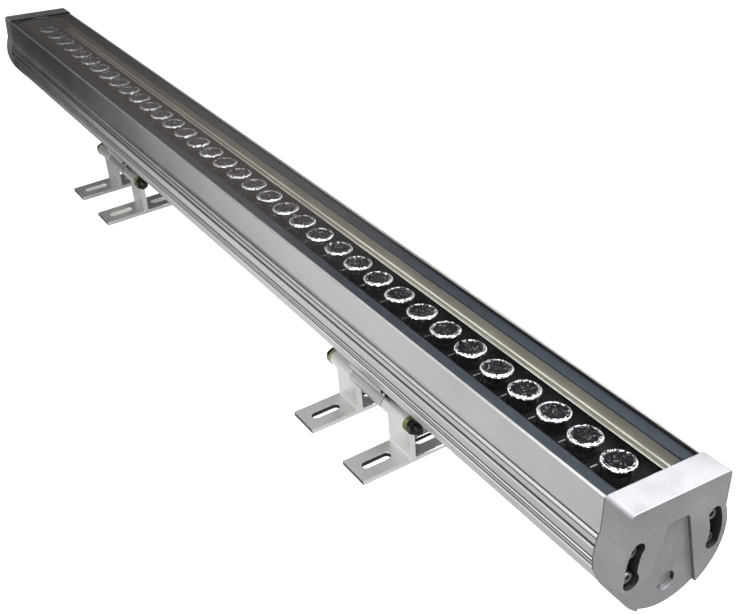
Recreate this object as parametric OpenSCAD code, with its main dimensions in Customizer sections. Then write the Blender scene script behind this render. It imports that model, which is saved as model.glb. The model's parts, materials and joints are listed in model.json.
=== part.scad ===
// Linear wall washer lamp: an extruded aluminium housing with a row of lenses
// under a glass cover, cast end caps, and two hinged brackets on T shaped feet.
// Lengths are in millimetres. The lamp runs along X, Z is up, and the origin is on
// the mounting surface under the middle of the whole object.

/* [Lens row] */
// Number of lenses in the row
lens_count = 36; // [26:1:44]
// Distance between neighbouring lenses
lens_pitch = 26; // [22:0.5:32]
// Distance from the last lens to the inner face of an end cap
row_margin = 26; // [20:0.5:40]
// Outer diameter of a lens
lens_d = 20.2; // [16:0.2:21.4]
// Height of a lens
lens_h = 10.4; // [9:0.1:12]
// Diameter of the narrow foot of a lens
lens_foot_d = 11; // [10:0.2:12.4]
// Height of the straight edge at the top of a lens
lens_edge_h = 1.4; // [0.8:0.1:2]
// Width of the raised rim round the dished top of a lens
lens_rim_w = 1.5; // [1:0.1:2.5]
// Depth of the dish in the top of a lens
lens_dish = 0.9; // [0.4:0.1:1.5]
// Height of the ring that holds a lens
holder_h = 3.6; // [3:0.1:5]
// Wall of the ring that holds a lens
holder_wall = 0.9; // [0.7:0.1:1.4]
// Thickness of the lip that the lens foot stands on
holder_lip = 0.6; // [0.5:0.1:1]
// Side of the square light emitter
emitter_w = 5; // [4:0.1:5.4]
// Thickness of the emitter's base
emitter_t = 1.2; // [0.8:0.1:1.6]
// Diameter of the emitter's clear dome
emitter_dome_d = 3.8; // [3:0.1:4]

/* [Cross section] */
// Height of the end cap from the middle of its round part to its flat top
shoulder_h = 37.5; // [35:0.5:44]
// Width of the end cap across its flat sides
section_w = 69; // [64:0.5:74]
// Radius of the round lower part of the end cap
round_r = 37.5; // [35:0.25:42]
// How far the housing lies inside the outline of the end cap
cap_lip = 0.5; // [0.3:0.1:1]

/* [Housing] */
// Drop from the top of the cap to the rim of the housing
rim_drop = 2; // [1:0.1:3]
// Width of the rim beside the glass
rim_w = 2; // [1.6:0.1:2.6]
// Thickness of the straight side walls
side_wall = 3.5; // [3:0.1:4.5]
// Thickness of the round lower shell
shell_wall = 2.6; // [2.2:0.1:3.4]
// How far the ledge reaches in from the rim under the glass
ledge_reach = 8; // [6:0.1:8.4]
// Thickness of that ledge
ledge_t = 1.8; // [1.2:0.1:2.4]
// Height of the tray floor over the middle of the round part
floor_rise = 13.6; // [12.5:0.1:15]
// Thickness of the tray floor
floor_t = 2.6; // [2:0.1:3.4]
// Width of the upright of a board rail
rail_w = 1.4; // [1:0.1:1.8]
// Thickness of the hook on top of a board rail
hook_t = 1; // [0.8:0.1:1.4]
// How far a hook reaches over the board
hook_reach = 0.6; // [0.4:0.1:1]
// Width of the small step at the foot of the tray wall
step_w = 1.2; // [0.6:0.1:1.6]
// Height of that step
step_h = 1.5; // [1:0.1:2.5]
// Height of the round ribs on the sides
side_rib_h = 0.5; // [0.3:0.05:0.5]
// Depth of the grooves on the sides
side_groove_d = 1.2; // [0.6:0.1:1.5]
// Wall round a channel for a cap screw
port_wall = 1.7; // [1.4:0.1:2]

/* [Driver bay] */
// Thickness of the plate that carries the driver
driver_plate_t = 1.5; // [1:0.1:2]
// Depth of the plate's underside below the middle of the round
driver_plate_drop = 15.5; // [14.5:0.1:17]
// Gap between the edge of the plate and the shell
driver_plate_gap = 1.2; // [0.6:0.1:2]
// Thickness of the ribs that hold the plate
plate_rib_t = 1.5; // [1:0.1:2]
// How far those ribs reach over the plate
plate_rib_reach = 2.5; // [1.5:0.1:3.5]
// Length of the driver
driver_len = 180; // [120:1:240]
// Width of the driver
driver_w = 44; // [34:1:46]
// Height of the driver
driver_h = 21; // [16:0.5:21.5]
// Gap from the driver to the far end of the housing
driver_end_gap = 5; // [3:0.5:7]
// Length of the low tab at each end of the driver
driver_tab_len = 8; // [7:0.5:12]
// Thickness of that tab
driver_tab_t = 2; // [1.5:0.1:3]
// Diameter of a screw that holds the driver
driver_screw_d = 3; // [2:0.5:3.5]
// Diameter of that screw's head
driver_head_d = 5.6; // [5:0.1:6.4]
// Height of that screw's head
driver_head_h = 1.8; // [1.4:0.1:2.4]
// Distance from the edges of the driver to the middle of a screw
driver_screw_inset = 4.5; // [3.5:0.1:5]

/* [Bottom channel] */
// Width of the rail under the housing
base_w = 22; // [18:0.5:26]
// Width of the channel's mouth
mouth_w = 6; // [5.4:0.1:7]
// Thickness of the lips beside the mouth
lip_t = 2; // [1.6:0.1:2.6]
// Width over the flats of a square nut
square_nut_w = 8; // [7.6:0.1:10]
// Thickness of a square nut
square_nut_t = 4; // [3:0.1:5]
// Wall over and beside the channel
channel_wall = 2.5; // [1.8:0.1:3]

/* [Glass and boards] */
// Thickness of the cover glass
glass_t = 4; // [3:0.1:5]
// Drop from the rim to the top of the glass
glass_drop = 0.5; // [0.2:0.1:1]
// Width of the sealant bead round the glass
sealant_w = 0.8; // [0.5:0.1:1.2]
// Drop from the glass to the top of the sealant
sealant_drop = 0.4; // [0.2:0.1:1]
// Width of a gasket strip under the glass
strip_w = 9.2; // [7:0.1:10]
// Thickness of a gasket strip
strip_t = 1; // [0.6:0.1:1.5]
// Width of the board that carries the emitters
board_w = 49; // [45:0.5:50]
// Thickness of that board
board_t = 1.6; // [1:0.1:2]
// Thickness of the thermal pad under the board
pad_t = 0.3; // [0.2:0.05:0.5]
// Gap between the end of the board and the end of the housing
board_gap = 1; // [0.5:0.1:2]
// Distance from the first lens to the hole for the leads
lead_hole_step = 16; // [14.5:0.5:17]
// Diameter of one lead over its insulation
lead_d = 1.6; // [1.2:0.1:1.8]
// Distance between the two leads
lead_gap = 2.4; // [2:0.1:2.6]
// How far a lead stands over the board
lead_rise = 1.4; // [1:0.1:2]
// Bore of the grommet in the tray floor
grommet_bore_d = 4.6; // [4.4:0.1:5]
// Wall of the grommet
grommet_wall = 1.5; // [1:0.1:2]
// Width and thickness of the grommet's flange
grommet_flange = 1.2; // [0.8:0.1:1.6]

/* [End caps] */
// Length of an end cap along the lamp
cap_len = 19; // [16:0.5:24]
// Radius of the cap's long top edges
cap_edge_r = 2.5; // [1:0.1:4]
// Thickness of the cap's outer face
cap_face_t = 7; // [6.4:0.1:8]
// Thickness of the cap's side walls
cap_wall = 3.2; // [3:0.1:3.6]
// How far the hollow in the cap stays below the ledge of the housing
cap_top_lap = 0.2; // [0:0.1:1]
// Thickness of the gasket under a cap
end_gasket_t = 0.8; // [0.5:0.1:1.5]
// Distance from the round edge of the cap in to the middle of a cap screw
screw_inset = 8.3; // [8:0.1:9]
// Angle of the upper screw above the middle of the round
screw_angle_high = 19; // [17.5:0.5:21]
// Angle of the lower screw below the middle of the round
screw_angle_low = 13.2; // [11:0.2:15]
// Width of the kidney slots over the screws
kidney_w = 8.4; // [7.6:0.1:8.5]
// Depth of the kidney slots
kidney_depth = 8; // [7:0.1:10]
// Angle from the upper screw to the upper end of the slot
kidney_run_high = 6; // [3:0.5:7]
// Angle from the lower screw to the lower end of the slot
kidney_run_low = 1; // [0:0.5:4]
// Diameter of the round ends of the slots, a little wider than the slot
kidney_end_d = 8.8; // [8.7:0.1:9.2]
// Diameter of the wide lower end of one slot
kidney_wide_d = 10.4; // [9:0.1:11]
// Wall behind a kidney slot
kidney_wall = 1.4; // [1.2:0.1:2]
// Depth of the flared pocket in the outer face
pocket_depth = 2.5; // [1.5:0.1:3]
// Drop from the top of the cap to the top of the pocket
pocket_drop = 17; // [14:0.5:22]
// Width of the pocket at its top
pocket_top_w = 15.6; // [12:0.2:20]
// Width of the pocket where it meets the round
pocket_low_w = 44; // [36:0.5:46]
// Radius of the pocket's top corners
pocket_corner_r = 3.2; // [2:0.1:4]
// Diameter of the round recess in the pocket
recess_d = 12; // [11:0.2:14]
// Depth of that recess
recess_depth = 2.5; // [2:0.1:3]
// Distance from the bottom of the cap up to the middle of the recess
recess_rise = 15.5; // [12:0.5:18]
// Diameter of the hole for the supply lead in the far cap
inlet_hole_d = 8; // [6:0.2:9]
// Diameter of the dimple that a supply lead would pierce in the rubber inlet
inlet_dimple_d = 5.4; // [4:0.2:5.8]
// Depth of that dimple
inlet_dimple_depth = 1.6; // [1:0.1:2]

/* [Cap screws] */
// Thread diameter of a cap screw
cap_screw_d = 4; // [3:0.5:4]
// Length of a cap screw under its head
cap_screw_len = 26; // [22:1:40]
// Diameter of a cap screw's head
cap_head_d = 7; // [6.4:0.1:7.4]
// Height of a cap screw's head
cap_head_h = 4; // [3:0.1:4.6]
// Width of the hex socket in the head
cap_socket_w = 3; // [2:0.5:4]
// Depth of the hex socket
cap_socket_depth = 2; // [1.5:0.1:2.5]

/* [Brackets] */
// Distance from the middle of the lamp to the middle of a bracket
bracket_x = 232.4; // [80:0.2:300]
// Width of a bracket over both feet
bracket_w = 95; // [80:0.5:120]
// Width of one foot along the lamp
foot_w = 26.9; // [20:0.1:32]
// Length of a foot's plate across the lamp
foot_len = 80.5; // [66:0.5:110]
// Thickness of a foot's plate
foot_t = 3.5; // [3:0.1:5]
// Thickness of a foot's upright web
web_t = 4.2; // [3:0.1:5]
// How far the web lies behind the hinge axis
web_back = 1.4; // [0:0.1:2]
// Radius of the fillets at the foot of the web
web_fillet_r = 1.5; // [0.5:0.1:3]
// Length of a mounting slot, end to end
slot_len = 22.5; // [12:0.5:26]
// Width of a mounting slot
slot_w = 6.5; // [4:0.1:9]
// Distance between the middles of the two slots of a foot
slot_spacing = 43; // [38:0.5:48]

/* [Hinge] */
// Height of the hinge axis over the mounting surface
hinge_h = 35; // [30:0.5:50]
// Distance from the hinge axis up to the flat under the housing
hinge_drop = 12.2; // [12:0.1:16]
// How far the hinge axis lies in front of the middle of the lamp
hinge_front = 12.5; // [11.5:0.1:15]
// Tilt of the lamp as it stands in the photograph
rest_tilt = 4.5; // [0:0.5:30]
// Outer diameter of the hinge knuckles
knuckle_d = 11; // [9.6:0.1:12]
// Diameter of the hinge bolt
bolt_d = 6; // [4:0.5:6]
// Radial clearance of a bolt or screw in its bore
fit = 0.05; // [0.02:0.01:0.1]
// Side clearance between neighbouring knuckles
knuckle_gap = 0.3; // [0.1:0.05:0.6]
// Width over the flats of the bolt's head and nut
bolt_flats = 10; // [9:0.5:11]
// Height of the bolt's head
bolt_head_h = 4; // [3:0.1:6]
// Thickness of the nut
bolt_nut_h = 5; // [4:0.1:6.5]
// Outer diameter of a washer
washer_d = 12; // [11:0.2:14]
// Thickness of a washer
washer_t = 1.6; // [1:0.1:2]
// Length of thread that shows past the nut
bolt_tail = 4.5; // [1:0.5:8]

/* [Clamps] */
// Thickness of a clamp's plate under the housing
clamp_t = 3.5; // [3:0.1:3.9]
// How far the plate reaches behind the middle of the lamp
clamp_back = 12; // [8:0.5:16]
// Thickness of the web between plate and knuckle
clamp_web_t = 4.6; // [3.6:0.1:6]
// Diameter of a clamp screw
clamp_screw_d = 5; // [4:0.5:5]
// Distance between the two screws of a clamp
clamp_screw_spacing = 24; // [16:0.5:28]
// Width over the flats of a clamp screw's head
clamp_head_flats = 8; // [7:0.5:8.5]
// Height of a clamp screw's head
clamp_head_h = 3.5; // [2.5:0.1:4]

/* [Hidden] */
$fn = 64;

// Extra length that takes a cut past the face it starts from
past = 1;
// Gap that keeps a sliding piece clear of its guide
slide_gap = 0.3;
// Gap between a lens and the cone of its holder
lens_gap = 0.15;
// Gap between a hex or square nut and the channel it slides in
nut_gap = 0.25;
// Radial gap of a clearance hole in a casting, plate or washer
free_gap = 0.25;

// Places along the lamp
inside_len = (lens_count - 1) * lens_pitch + 2 * row_margin;
lamp_half = inside_len / 2 + cap_len;
housing_len = inside_len - 2 * end_gasket_t;
board_len = housing_len - 2 * board_gap;
first_lens_x = -(lens_count - 1) * lens_pitch / 2;
lead_x = first_lens_x - lead_hole_step;
driver_x0 = -housing_len / 2 + driver_end_gap;

// Heights in the lamp's own frame, with zero at the top of the caps
section_h = shoulder_h + round_r;
round_z = -shoulder_h;
rim_z = -rim_drop;
glass_top_z = rim_z - glass_drop;
strip_top_z = glass_top_z - glass_t;
ledge_z = strip_top_z - strip_t;
floor_z = round_z + floor_rise;
board_z = floor_z + pad_t;
board_top_z = board_z + board_t;
lens_z = board_top_z + holder_lip;
plate_top_z = round_z - driver_plate_drop + driver_plate_t;
channel_top_z = -section_h + lip_t + square_nut_t + 2 * nut_gap;
hollow_top_z = ledge_z - ledge_t - cap_top_lap;

// Half widths in the lamp's own frame
housing_half = section_w / 2 - cap_lip;
housing_r = round_r - cap_lip;
bay_half = housing_half - rim_w;
tray_half = housing_half - side_wall;
shell_inner_r = housing_r - shell_wall;
glass_half = bay_half - sealant_w;
rail_half = board_w / 2 + slide_gap;
plate_half = sqrt(shell_inner_r * shell_inner_r - driver_plate_drop * driver_plate_drop) - driver_plate_gap;
channel_half = square_nut_w / 2 + nut_gap;

// Cap screws in the lamp's own frame: [across, up]
screw_circle_r = round_r - screw_inset;
screw_high = [screw_circle_r * cos(screw_angle_high), round_z + screw_circle_r * sin(screw_angle_high)];
screw_low = [screw_circle_r * cos(screw_angle_low), round_z - screw_circle_r * sin(screw_angle_low)];
port_r = cap_screw_d / 2 + fit;

// Side lines of the housing: [height over the middle of the round, width]
groove_lines = [[12.5, 0.7], [9.5, 0.6], [5.7, 1.3], [-1.7, 0.8], [-4.5, 1.1], [-7.1, 1.1], [-10.6, 0.6]];
rib_lines = [[11, 2], [4.2, 1.2], [-3, 1.3], [-9, 2.4]];

// The hinge axis in the lamp's own frame, and the lamp's reach from it at rest
pivot_y = -hinge_front;
pivot_z = -section_h - hinge_drop;
round_out_y = hinge_front * cos(rest_tilt) + (round_z - pivot_z) * sin(rest_tilt);
edge_rise = -cap_edge_r - pivot_z;
edge_half = section_w / 2 - cap_edge_r;
back_edge_y = (edge_half + hinge_front) * cos(rest_tilt) + edge_rise * sin(rest_tilt) + cap_edge_r;
front_edge_y = (hinge_front - edge_half) * cos(rest_tilt) + edge_rise * sin(rest_tilt) - cap_edge_r;
foot_back_y = foot_len / 2 + web_back;
foot_front_y = web_back - foot_len / 2;
reach_back = max(round_out_y + round_r, back_edge_y, foot_back_y);
reach_front = min(round_out_y - round_r, front_edge_y, foot_front_y);
hinge_y = -(reach_back + reach_front) / 2;

// Hinge details
knuckle_r = knuckle_d / 2;
bore_r = bolt_d / 2 + fit;
clamp_len = bracket_w - 2 * foot_w - 2 * knuckle_gap;
bolt_grip = bracket_w + 3 * washer_t;

// Places a solid that is drawn across Y and Z between two X values
module along_x(x0, x1) {
    translate([x0, 0, 0]) rotate([90, 0, 90]) linear_extrude(height = x1 - x0) children();
}

// A cylinder along X from x0 to x1, at a point [across, up]
module rod_x(point, r, x0, x1) {
    translate([x0, point[0], point[1]]) rotate([0, 90, 0]) cylinder(r = r, h = x1 - x0);
}

// A hexagon prism along X, with its flats facing up and down
module hex_x(point, flats, x0, x1) {
    translate([x0, point[0], point[1]]) rotate([0, 90, 0])
        cylinder(d = flats / cos(30), h = x1 - x0, $fn = 6);
}

// Turns the lamp's own frame about the hinge into the pose of the photograph
module lamp_pose() {
    translate([0, hinge_y, hinge_h]) rotate([-rest_tilt, 0, 0]) translate([0, -pivot_y, -pivot_z])
        children();
}

// Draws a child on the front side and mirrored on the back side
module both_sides() {
    children();
    mirror([1, 0]) children();
}

// The cross section, drawn this far inside the cap's outline and up to this height
module section_shape(inset, top_z) {
    half = section_w / 2 - inset;
    translate([-half, round_z]) square([2 * half, top_z - round_z]);
    translate([0, round_z]) circle(r = round_r - inset, $fn = 128);
}

// One groove or rib along the round side, at a height over the middle of the round
module groove_shape(rise, width) {
    translate([0, round_z]) rotate(asin(rise / housing_r))
        translate([housing_r - side_groove_d, -width / 2]) square([side_groove_d + past, width]);
}

module rib_shape(rise, width) {
    curve_r = (width * width / 4 + side_rib_h * side_rib_h) / (2 * side_rib_h);
    translate([0, round_z]) rotate(asin(rise / housing_r))
        translate([housing_r + side_rib_h - curve_r, 0]) circle(r = curve_r);
}

// The tray under the glass: glass seat, ledges, and the open trough between them
module tray_opening() {
    translate([-bay_half, ledge_z]) square([2 * bay_half, past - ledge_z]);
    translate([ledge_reach - bay_half, ledge_z - ledge_t - past])
        square([2 * (bay_half - ledge_reach), ledge_t + 2 * past]);
    translate([-tray_half, floor_z]) square([2 * tray_half, ledge_z - ledge_t - floor_z]);
}

// A hooked rail beside the board, and the small step at the wall
module tray_rail() {
    top_z = board_top_z + slide_gap + hook_t;
    translate([rail_half, floor_z - past]) square([rail_w, top_z - floor_z + past]);
    translate([rail_half - slide_gap - hook_reach, top_z - hook_t])
        square([rail_w + slide_gap + hook_reach, hook_t]);
    translate([tray_half - step_w, floor_z - past]) square([step_w + past, step_h + past]);
}

// The closed bay under the tray floor
module lower_bay() {
    intersection() {
        section_shape(cap_lip + shell_wall, floor_z - floor_t);
        translate([-tray_half, -section_h]) square([2 * tray_half, section_h + floor_z - floor_t]);
    }
    intersection() {
        translate([0, round_z]) circle(r = shell_inner_r, $fn = 128);
        translate([-round_r, -section_h]) square([2 * round_r, section_h + round_z + shell_wall]);
    }
}

// Walls round the two screw channels of one side, joined to the outer wall
module screw_port_walls() {
    for (p = [screw_high, screw_low]) {
        translate(p) circle(r = port_r + port_wall);
        translate([p[0], p[1] - port_wall]) square([housing_r - p[0], 2 * port_wall]);
    }
}

// Ribs that hold the driver plate at one side
module plate_ribs() {
    inner_y = plate_half - plate_rib_reach;
    intersection() {
        translate([0, round_z]) circle(r = shell_inner_r + shell_wall / 2, $fn = 128);
        union() {
            translate([inner_y, plate_top_z - driver_plate_t - slide_gap / 2 - plate_rib_t])
                square([round_r, plate_rib_t]);
            translate([inner_y, plate_top_z + slide_gap / 2]) square([round_r, plate_rib_t]);
        }
    }
}

// The whole profile of the extrusion
module housing_profile() {
    difference() {
        union() {
            section_shape(cap_lip, rim_z);
            both_sides() for (line = rib_lines) rib_shape(line[0], line[1]);
            translate([-base_w / 2, -section_h]) square([base_w, housing_r - shell_wall]);
        }
        difference() {
            union() {
                tray_opening();
                lower_bay();
            }
            both_sides() {
                tray_rail();
                screw_port_walls();
                plate_ribs();
            }
            translate([-channel_half - channel_wall, -section_h])
                square([2 * (channel_half + channel_wall), channel_top_z + channel_wall + section_h]);
        }
        both_sides() for (line = groove_lines) groove_shape(line[0], line[1]);
        translate([-mouth_w / 2, -section_h - past]) square([mouth_w, lip_t + 2 * past]);
        translate([-channel_half, -section_h + lip_t])
            square([2 * channel_half, channel_top_z + section_h - lip_t]);
        both_sides() for (p = [screw_high, screw_low]) translate(p) circle(r = port_r);
    }
}

module housing() {
    color("#c9cbcb") lamp_pose() difference() {
        along_x(-housing_len / 2, housing_len / 2) housing_profile();
        translate([lead_x, 0, floor_z - floor_t - past])
            cylinder(r = grommet_bore_d / 2 + grommet_wall + fit, h = floor_t + 2 * past);
    }
}

module cover_glass() {
    color([0.75, 0.8, 0.82, 0.3]) lamp_pose()
        translate([-housing_len / 2 + sealant_w, -glass_half, strip_top_z])
            cube([housing_len - 2 * sealant_w, 2 * glass_half, glass_t]);
}

module glass_gasket_strips() {
    color("#3b424a") lamp_pose() along_x(-housing_len / 2, housing_len / 2)
        both_sides() translate([bay_half - strip_w, ledge_z]) square([strip_w, strip_t]);
}

module glass_sealant() {
    height = glass_t - sealant_drop;
    color("#16181a") lamp_pose() difference() {
        translate([-housing_len / 2, -bay_half, strip_top_z]) cube([housing_len, 2 * bay_half, height]);
        translate([-housing_len / 2 + sealant_w, -glass_half, strip_top_z - past])
            cube([housing_len - 2 * sealant_w, 2 * glass_half, height + 2 * past]);
    }
}

// One kidney slot with its middle line on the screw circle, grown by this much
module kidney_shape(grow, low_d) {
    high_end = screw_angle_high + kidney_run_high;
    low_end = -screw_angle_low - kidney_run_low;
    half = kidney_w / 2 + grow;
    far = 2 * screw_circle_r;
    translate([0, round_z]) {
        intersection() {
            difference() {
                circle(r = screw_circle_r + half, $fn = 128);
                circle(r = screw_circle_r - half, $fn = 128);
            }
            polygon([
                [0, 0],
                [far * cos(low_end), far * sin(low_end)],
                [far, 0],
                [far * cos(high_end), far * sin(high_end)]
            ]);
        }
        rotate(high_end) translate([screw_circle_r, 0]) circle(r = kidney_end_d / 2 + grow);
        rotate(low_end) translate([screw_circle_r, 0]) circle(r = low_d / 2 + grow);
    }
}

// The flared pocket of the outer face, open at the bottom
module pocket_shape() {
    low_z = -section_h - past;
    corner = [pocket_top_w / 2 - pocket_corner_r, -pocket_drop - pocket_corner_r];
    slope = (pocket_low_w - pocket_top_w) / 2 / (section_h - pocket_drop);
    low_half = pocket_low_w / 2 + slope * past;
    hull() {
        both_sides() translate(corner) circle(r = pocket_corner_r, $fn = 32);
        translate([-low_half, low_z]) square([2 * low_half, past]);
    }
}

module cap_outline() {
    difference() {
        section_shape(0, 0);
        both_sides() difference() {
            translate([edge_half, -cap_edge_r]) square(cap_edge_r + past);
            translate([edge_half, -cap_edge_r]) circle(r = cap_edge_r);
        }
    }
}

// The hollow at the back of the cap, with the thick backs of the slots left in
module cap_hollow() {
    difference() {
        intersection() {
            section_shape(cap_wall, 0);
            translate([-round_r, -section_h]) square([2 * round_r, section_h + hollow_top_z]);
        }
        kidney_shape(kidney_wall, kidney_end_d);
        mirror([1, 0]) kidney_shape(kidney_wall, kidney_wide_d);
    }
}

// One casting with its outer face at x = 0 and its inner face at x = -cap_len
module cap_casting() {
    difference() {
        along_x(-cap_len, 0) cap_outline();
        along_x(-cap_len - past, -cap_face_t) cap_hollow();
        along_x(-pocket_depth, past) pocket_shape();
        rod_x([0, recess_rise - section_h], recess_d / 2, -pocket_depth - recess_depth, past);
        along_x(-kidney_depth, past) {
            kidney_shape(0, kidney_end_d);
            mirror([1, 0]) kidney_shape(0, kidney_wide_d);
        }
        for (side = [-1, 1], p = [screw_high, screw_low])
            rod_x([side * p[0], p[1]], cap_screw_d / 2 + free_gap, -cap_len - past, past);
    }
}

module near_end_cap() {
    color("#b9babc") lamp_pose() translate([lamp_half, 0, 0]) cap_casting();
}

module far_end_cap() {
    color("#6f7275") lamp_pose() rotate([0, 0, 180]) translate([lamp_half, 0, 0]) difference() {
        cap_casting();
        rod_x([0, recess_rise - section_h], inlet_hole_d / 2, -cap_face_t - past, past);
    }
}

// The rubber inlet in the recess of the far cap, closed, with a dimple in its middle
module cable_inlet() {
    seat_x = -pocket_depth - recess_depth;
    z = recess_rise - section_h;
    color("#1c1d1e") lamp_pose() rotate([0, 0, 180]) translate([lamp_half, 0, 0]) difference() {
        union() {
            rod_x([0, z], inlet_hole_d / 2 - fit, -cap_face_t - past, seat_x);
            rod_x([0, z], recess_d / 2 - free_gap, seat_x, -pocket_depth);
        }
        rod_x([0, z], inlet_dimple_d / 2, -pocket_depth - inlet_dimple_depth, past);
    }
}

module end_gasket(side) {
    x0 = side > 0 ? housing_len / 2 : -housing_len / 2 - end_gasket_t;
    along_x(x0, x0 + end_gasket_t) difference() {
        section_shape(2 * cap_lip, glass_top_z);
        difference() {
            intersection() {
                section_shape(cap_wall + cap_lip, 0);
                translate([-round_r, -section_h]) square([2 * round_r, section_h + hollow_top_z]);
            }
            both_sides() screw_port_walls();
        }
        both_sides() for (p = [screw_high, screw_low]) translate(p) circle(r = port_r + free_gap);
    }
}

module near_end_gasket() {
    color("#26282a") lamp_pose() end_gasket(1);
}

module far_end_gasket() {
    color("#26282a") lamp_pose() end_gasket(-1);
}

// A socket head screw along X, its head's seat at the floor of the kidney slot
module cap_screw(point) {
    seat_x = lamp_half - kidney_depth;
    difference() {
        union() {
            rod_x(point, cap_screw_d / 2, seat_x - cap_screw_len, seat_x + cap_head_h / 2);
            rod_x(point, cap_head_d / 2, seat_x, seat_x + cap_head_h);
        }
        hex_x(point, cap_socket_w, seat_x + cap_head_h - cap_socket_depth, seat_x + cap_head_h + past);
    }
}

module cap_screw_set() {
    for (side = [-1, 1], p = [screw_high, screw_low]) cap_screw([side * p[0], p[1]]);
}

module near_cap_screws() {
    color("#3a3b3d") lamp_pose() cap_screw_set();
}

module far_cap_screws() {
    color("#3a3b3d") lamp_pose() rotate([0, 0, 180]) cap_screw_set();
}

// A plate under the row, with the hole that the leads come through
module board_plate(width, z, thickness) {
    difference() {
        translate([-board_len / 2, -width / 2, z]) cube([board_len, width, thickness]);
        translate([lead_x, 0, z - past]) cylinder(r = grommet_bore_d / 2, h = thickness + 2 * past);
    }
}

module led_board() {
    color("#0d0e10") lamp_pose() board_plate(board_w, board_z, board_t);
}

module thermal_pad() {
    color("#8f9aa3") lamp_pose() board_plate(board_w, floor_z, pad_t);
}

// Places a child at each lens along the row
module each_lens() {
    for (i = [0 : lens_count - 1]) translate([first_lens_x + i * lens_pitch, 0, 0]) children();
}

module led_emitters() {
    color("#d9c76a") lamp_pose() each_lens() translate([0, 0, board_top_z]) {
        translate([-emitter_w / 2, -emitter_w / 2, 0]) cube([emitter_w, emitter_w, emitter_t]);
        translate([0, 0, emitter_t]) intersection() {
            sphere(d = emitter_dome_d);
            cylinder(d = 2 * emitter_dome_d, h = emitter_dome_d);
        }
    }
}

// Radius of the lens cone at a height over the lens foot
function lens_cone_r(h) = lens_foot_d / 2 + (lens_d - lens_foot_d) / 2 * h / (lens_h - lens_edge_h);

module lens_body() {
    dish_r = lens_d / 2 - lens_rim_w;
    hollow_r = emitter_w * sqrt(2) / 2 + lens_gap;
    hollow_top = emitter_t + emitter_dome_d / 2;
    rotate_extrude($fn = 72) polygon([
        [0, hollow_top + lens_dish],
        [hollow_r, hollow_top],
        [hollow_r, 0],
        [lens_foot_d / 2, 0],
        [lens_d / 2, lens_h - lens_edge_h],
        [lens_d / 2, lens_h],
        [dish_r, lens_h],
        [dish_r - lens_dish, lens_h - lens_dish],
        [0, lens_h - lens_dish]
    ]);
}

module lenses() {
    color([0.88, 0.92, 0.95, 0.6]) lamp_pose() each_lens() translate([0, 0, lens_z]) lens_body();
}

module lens_holder() {
    top_r = lens_cone_r(holder_h - holder_lip) + lens_gap;
    rotate_extrude() polygon([
        [emitter_w * sqrt(2) / 2 + lens_gap, 0],
        [top_r + holder_wall, 0],
        [top_r + holder_wall, holder_h],
        [top_r, holder_h],
        [lens_foot_d / 2 + lens_gap, holder_lip],
        [emitter_w * sqrt(2) / 2 + lens_gap, holder_lip]
    ]);
}

module lens_holders() {
    color("#17181a") lamp_pose() each_lens() translate([0, 0, board_top_z]) lens_holder();
}

// Places a child at each of the four driver screws
module each_driver_screw() {
    for (x = [driver_x0 + driver_len - driver_screw_inset, driver_x0 + driver_screw_inset],
         side = [-1, 1])
        translate([x, side * (driver_w / 2 - driver_screw_inset), plate_top_z]) children();
}

module driver_plate() {
    color("#a9acae") lamp_pose() difference() {
        translate([driver_x0, -plate_half, plate_top_z - driver_plate_t])
            cube([driver_len, 2 * plate_half, driver_plate_t]);
        each_driver_screw() translate([0, 0, -driver_plate_t - past])
            cylinder(r = driver_screw_d / 2 + fit, h = driver_plate_t + 2 * past);
    }
}

// A box with low tabs at its corners, which the screws go through
module led_driver() {
    color("#dcdcd6") lamp_pose() difference() {
        translate([driver_x0, -driver_w / 2, plate_top_z]) union() {
            cube([driver_len, driver_w, driver_tab_t]);
            translate([driver_tab_len, 0, 0])
                cube([driver_len - 2 * driver_tab_len, driver_w, driver_h]);
            translate([0, 2 * driver_screw_inset, 0])
                cube([driver_len, driver_w - 4 * driver_screw_inset, driver_h]);
        }
        each_driver_screw() translate([0, 0, -past])
            cylinder(r = driver_screw_d / 2 + fit, h = driver_tab_t + 2 * past);
        translate([lead_x, 0, plate_top_z + driver_h - lead_rise]) for (side = [-1, 1])
            translate([0, side * lead_gap / 2, 0]) cylinder(r = lead_d / 2 + fit, h = lead_rise + past);
    }
}

module driver_screws() {
    color("#b3a66a") lamp_pose() each_driver_screw() {
        translate([0, 0, -driver_plate_t])
            cylinder(d = driver_screw_d, h = driver_plate_t + driver_tab_t + driver_head_h / 2);
        translate([0, 0, driver_tab_t]) cylinder(d = driver_head_d, h = driver_head_h);
    }
}

// Two short leads that rise from the driver through the grommet to the board
module board_leads() {
    low_z = plate_top_z + driver_h - lead_rise;
    color("#a01f1c") lamp_pose() translate([lead_x, 0, low_z]) for (side = [-1, 1])
        translate([0, side * lead_gap / 2, 0]) cylinder(d = lead_d, h = board_top_z + lead_rise - low_z);
}

module lead_grommet() {
    neck_r = grommet_bore_d / 2 + grommet_wall;
    color("#1a1a1b") lamp_pose() translate([lead_x, 0, floor_z - floor_t]) difference() {
        union() {
            cylinder(r = neck_r, h = floor_t);
            translate([0, 0, -grommet_flange]) cylinder(r = neck_r + grommet_flange, h = grommet_flange);
        }
        translate([0, 0, -grommet_flange - past])
            cylinder(d = grommet_bore_d, h = floor_t + grommet_flange + 2 * past);
    }
}

// The hinge leaf under the housing: plate, web, and the middle knuckle
module clamp_profile() {
    difference() {
        union() {
            translate([pivot_y - knuckle_r, -section_h - clamp_t])
                square([clamp_back + hinge_front + knuckle_r, clamp_t]);
            translate([pivot_y - clamp_web_t / 2, pivot_z]) square([clamp_web_t, hinge_drop - clamp_t / 2]);
            translate([pivot_y, pivot_z]) circle(r = knuckle_r);
        }
        translate([pivot_y, pivot_z]) circle(r = bore_r);
    }
}

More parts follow.
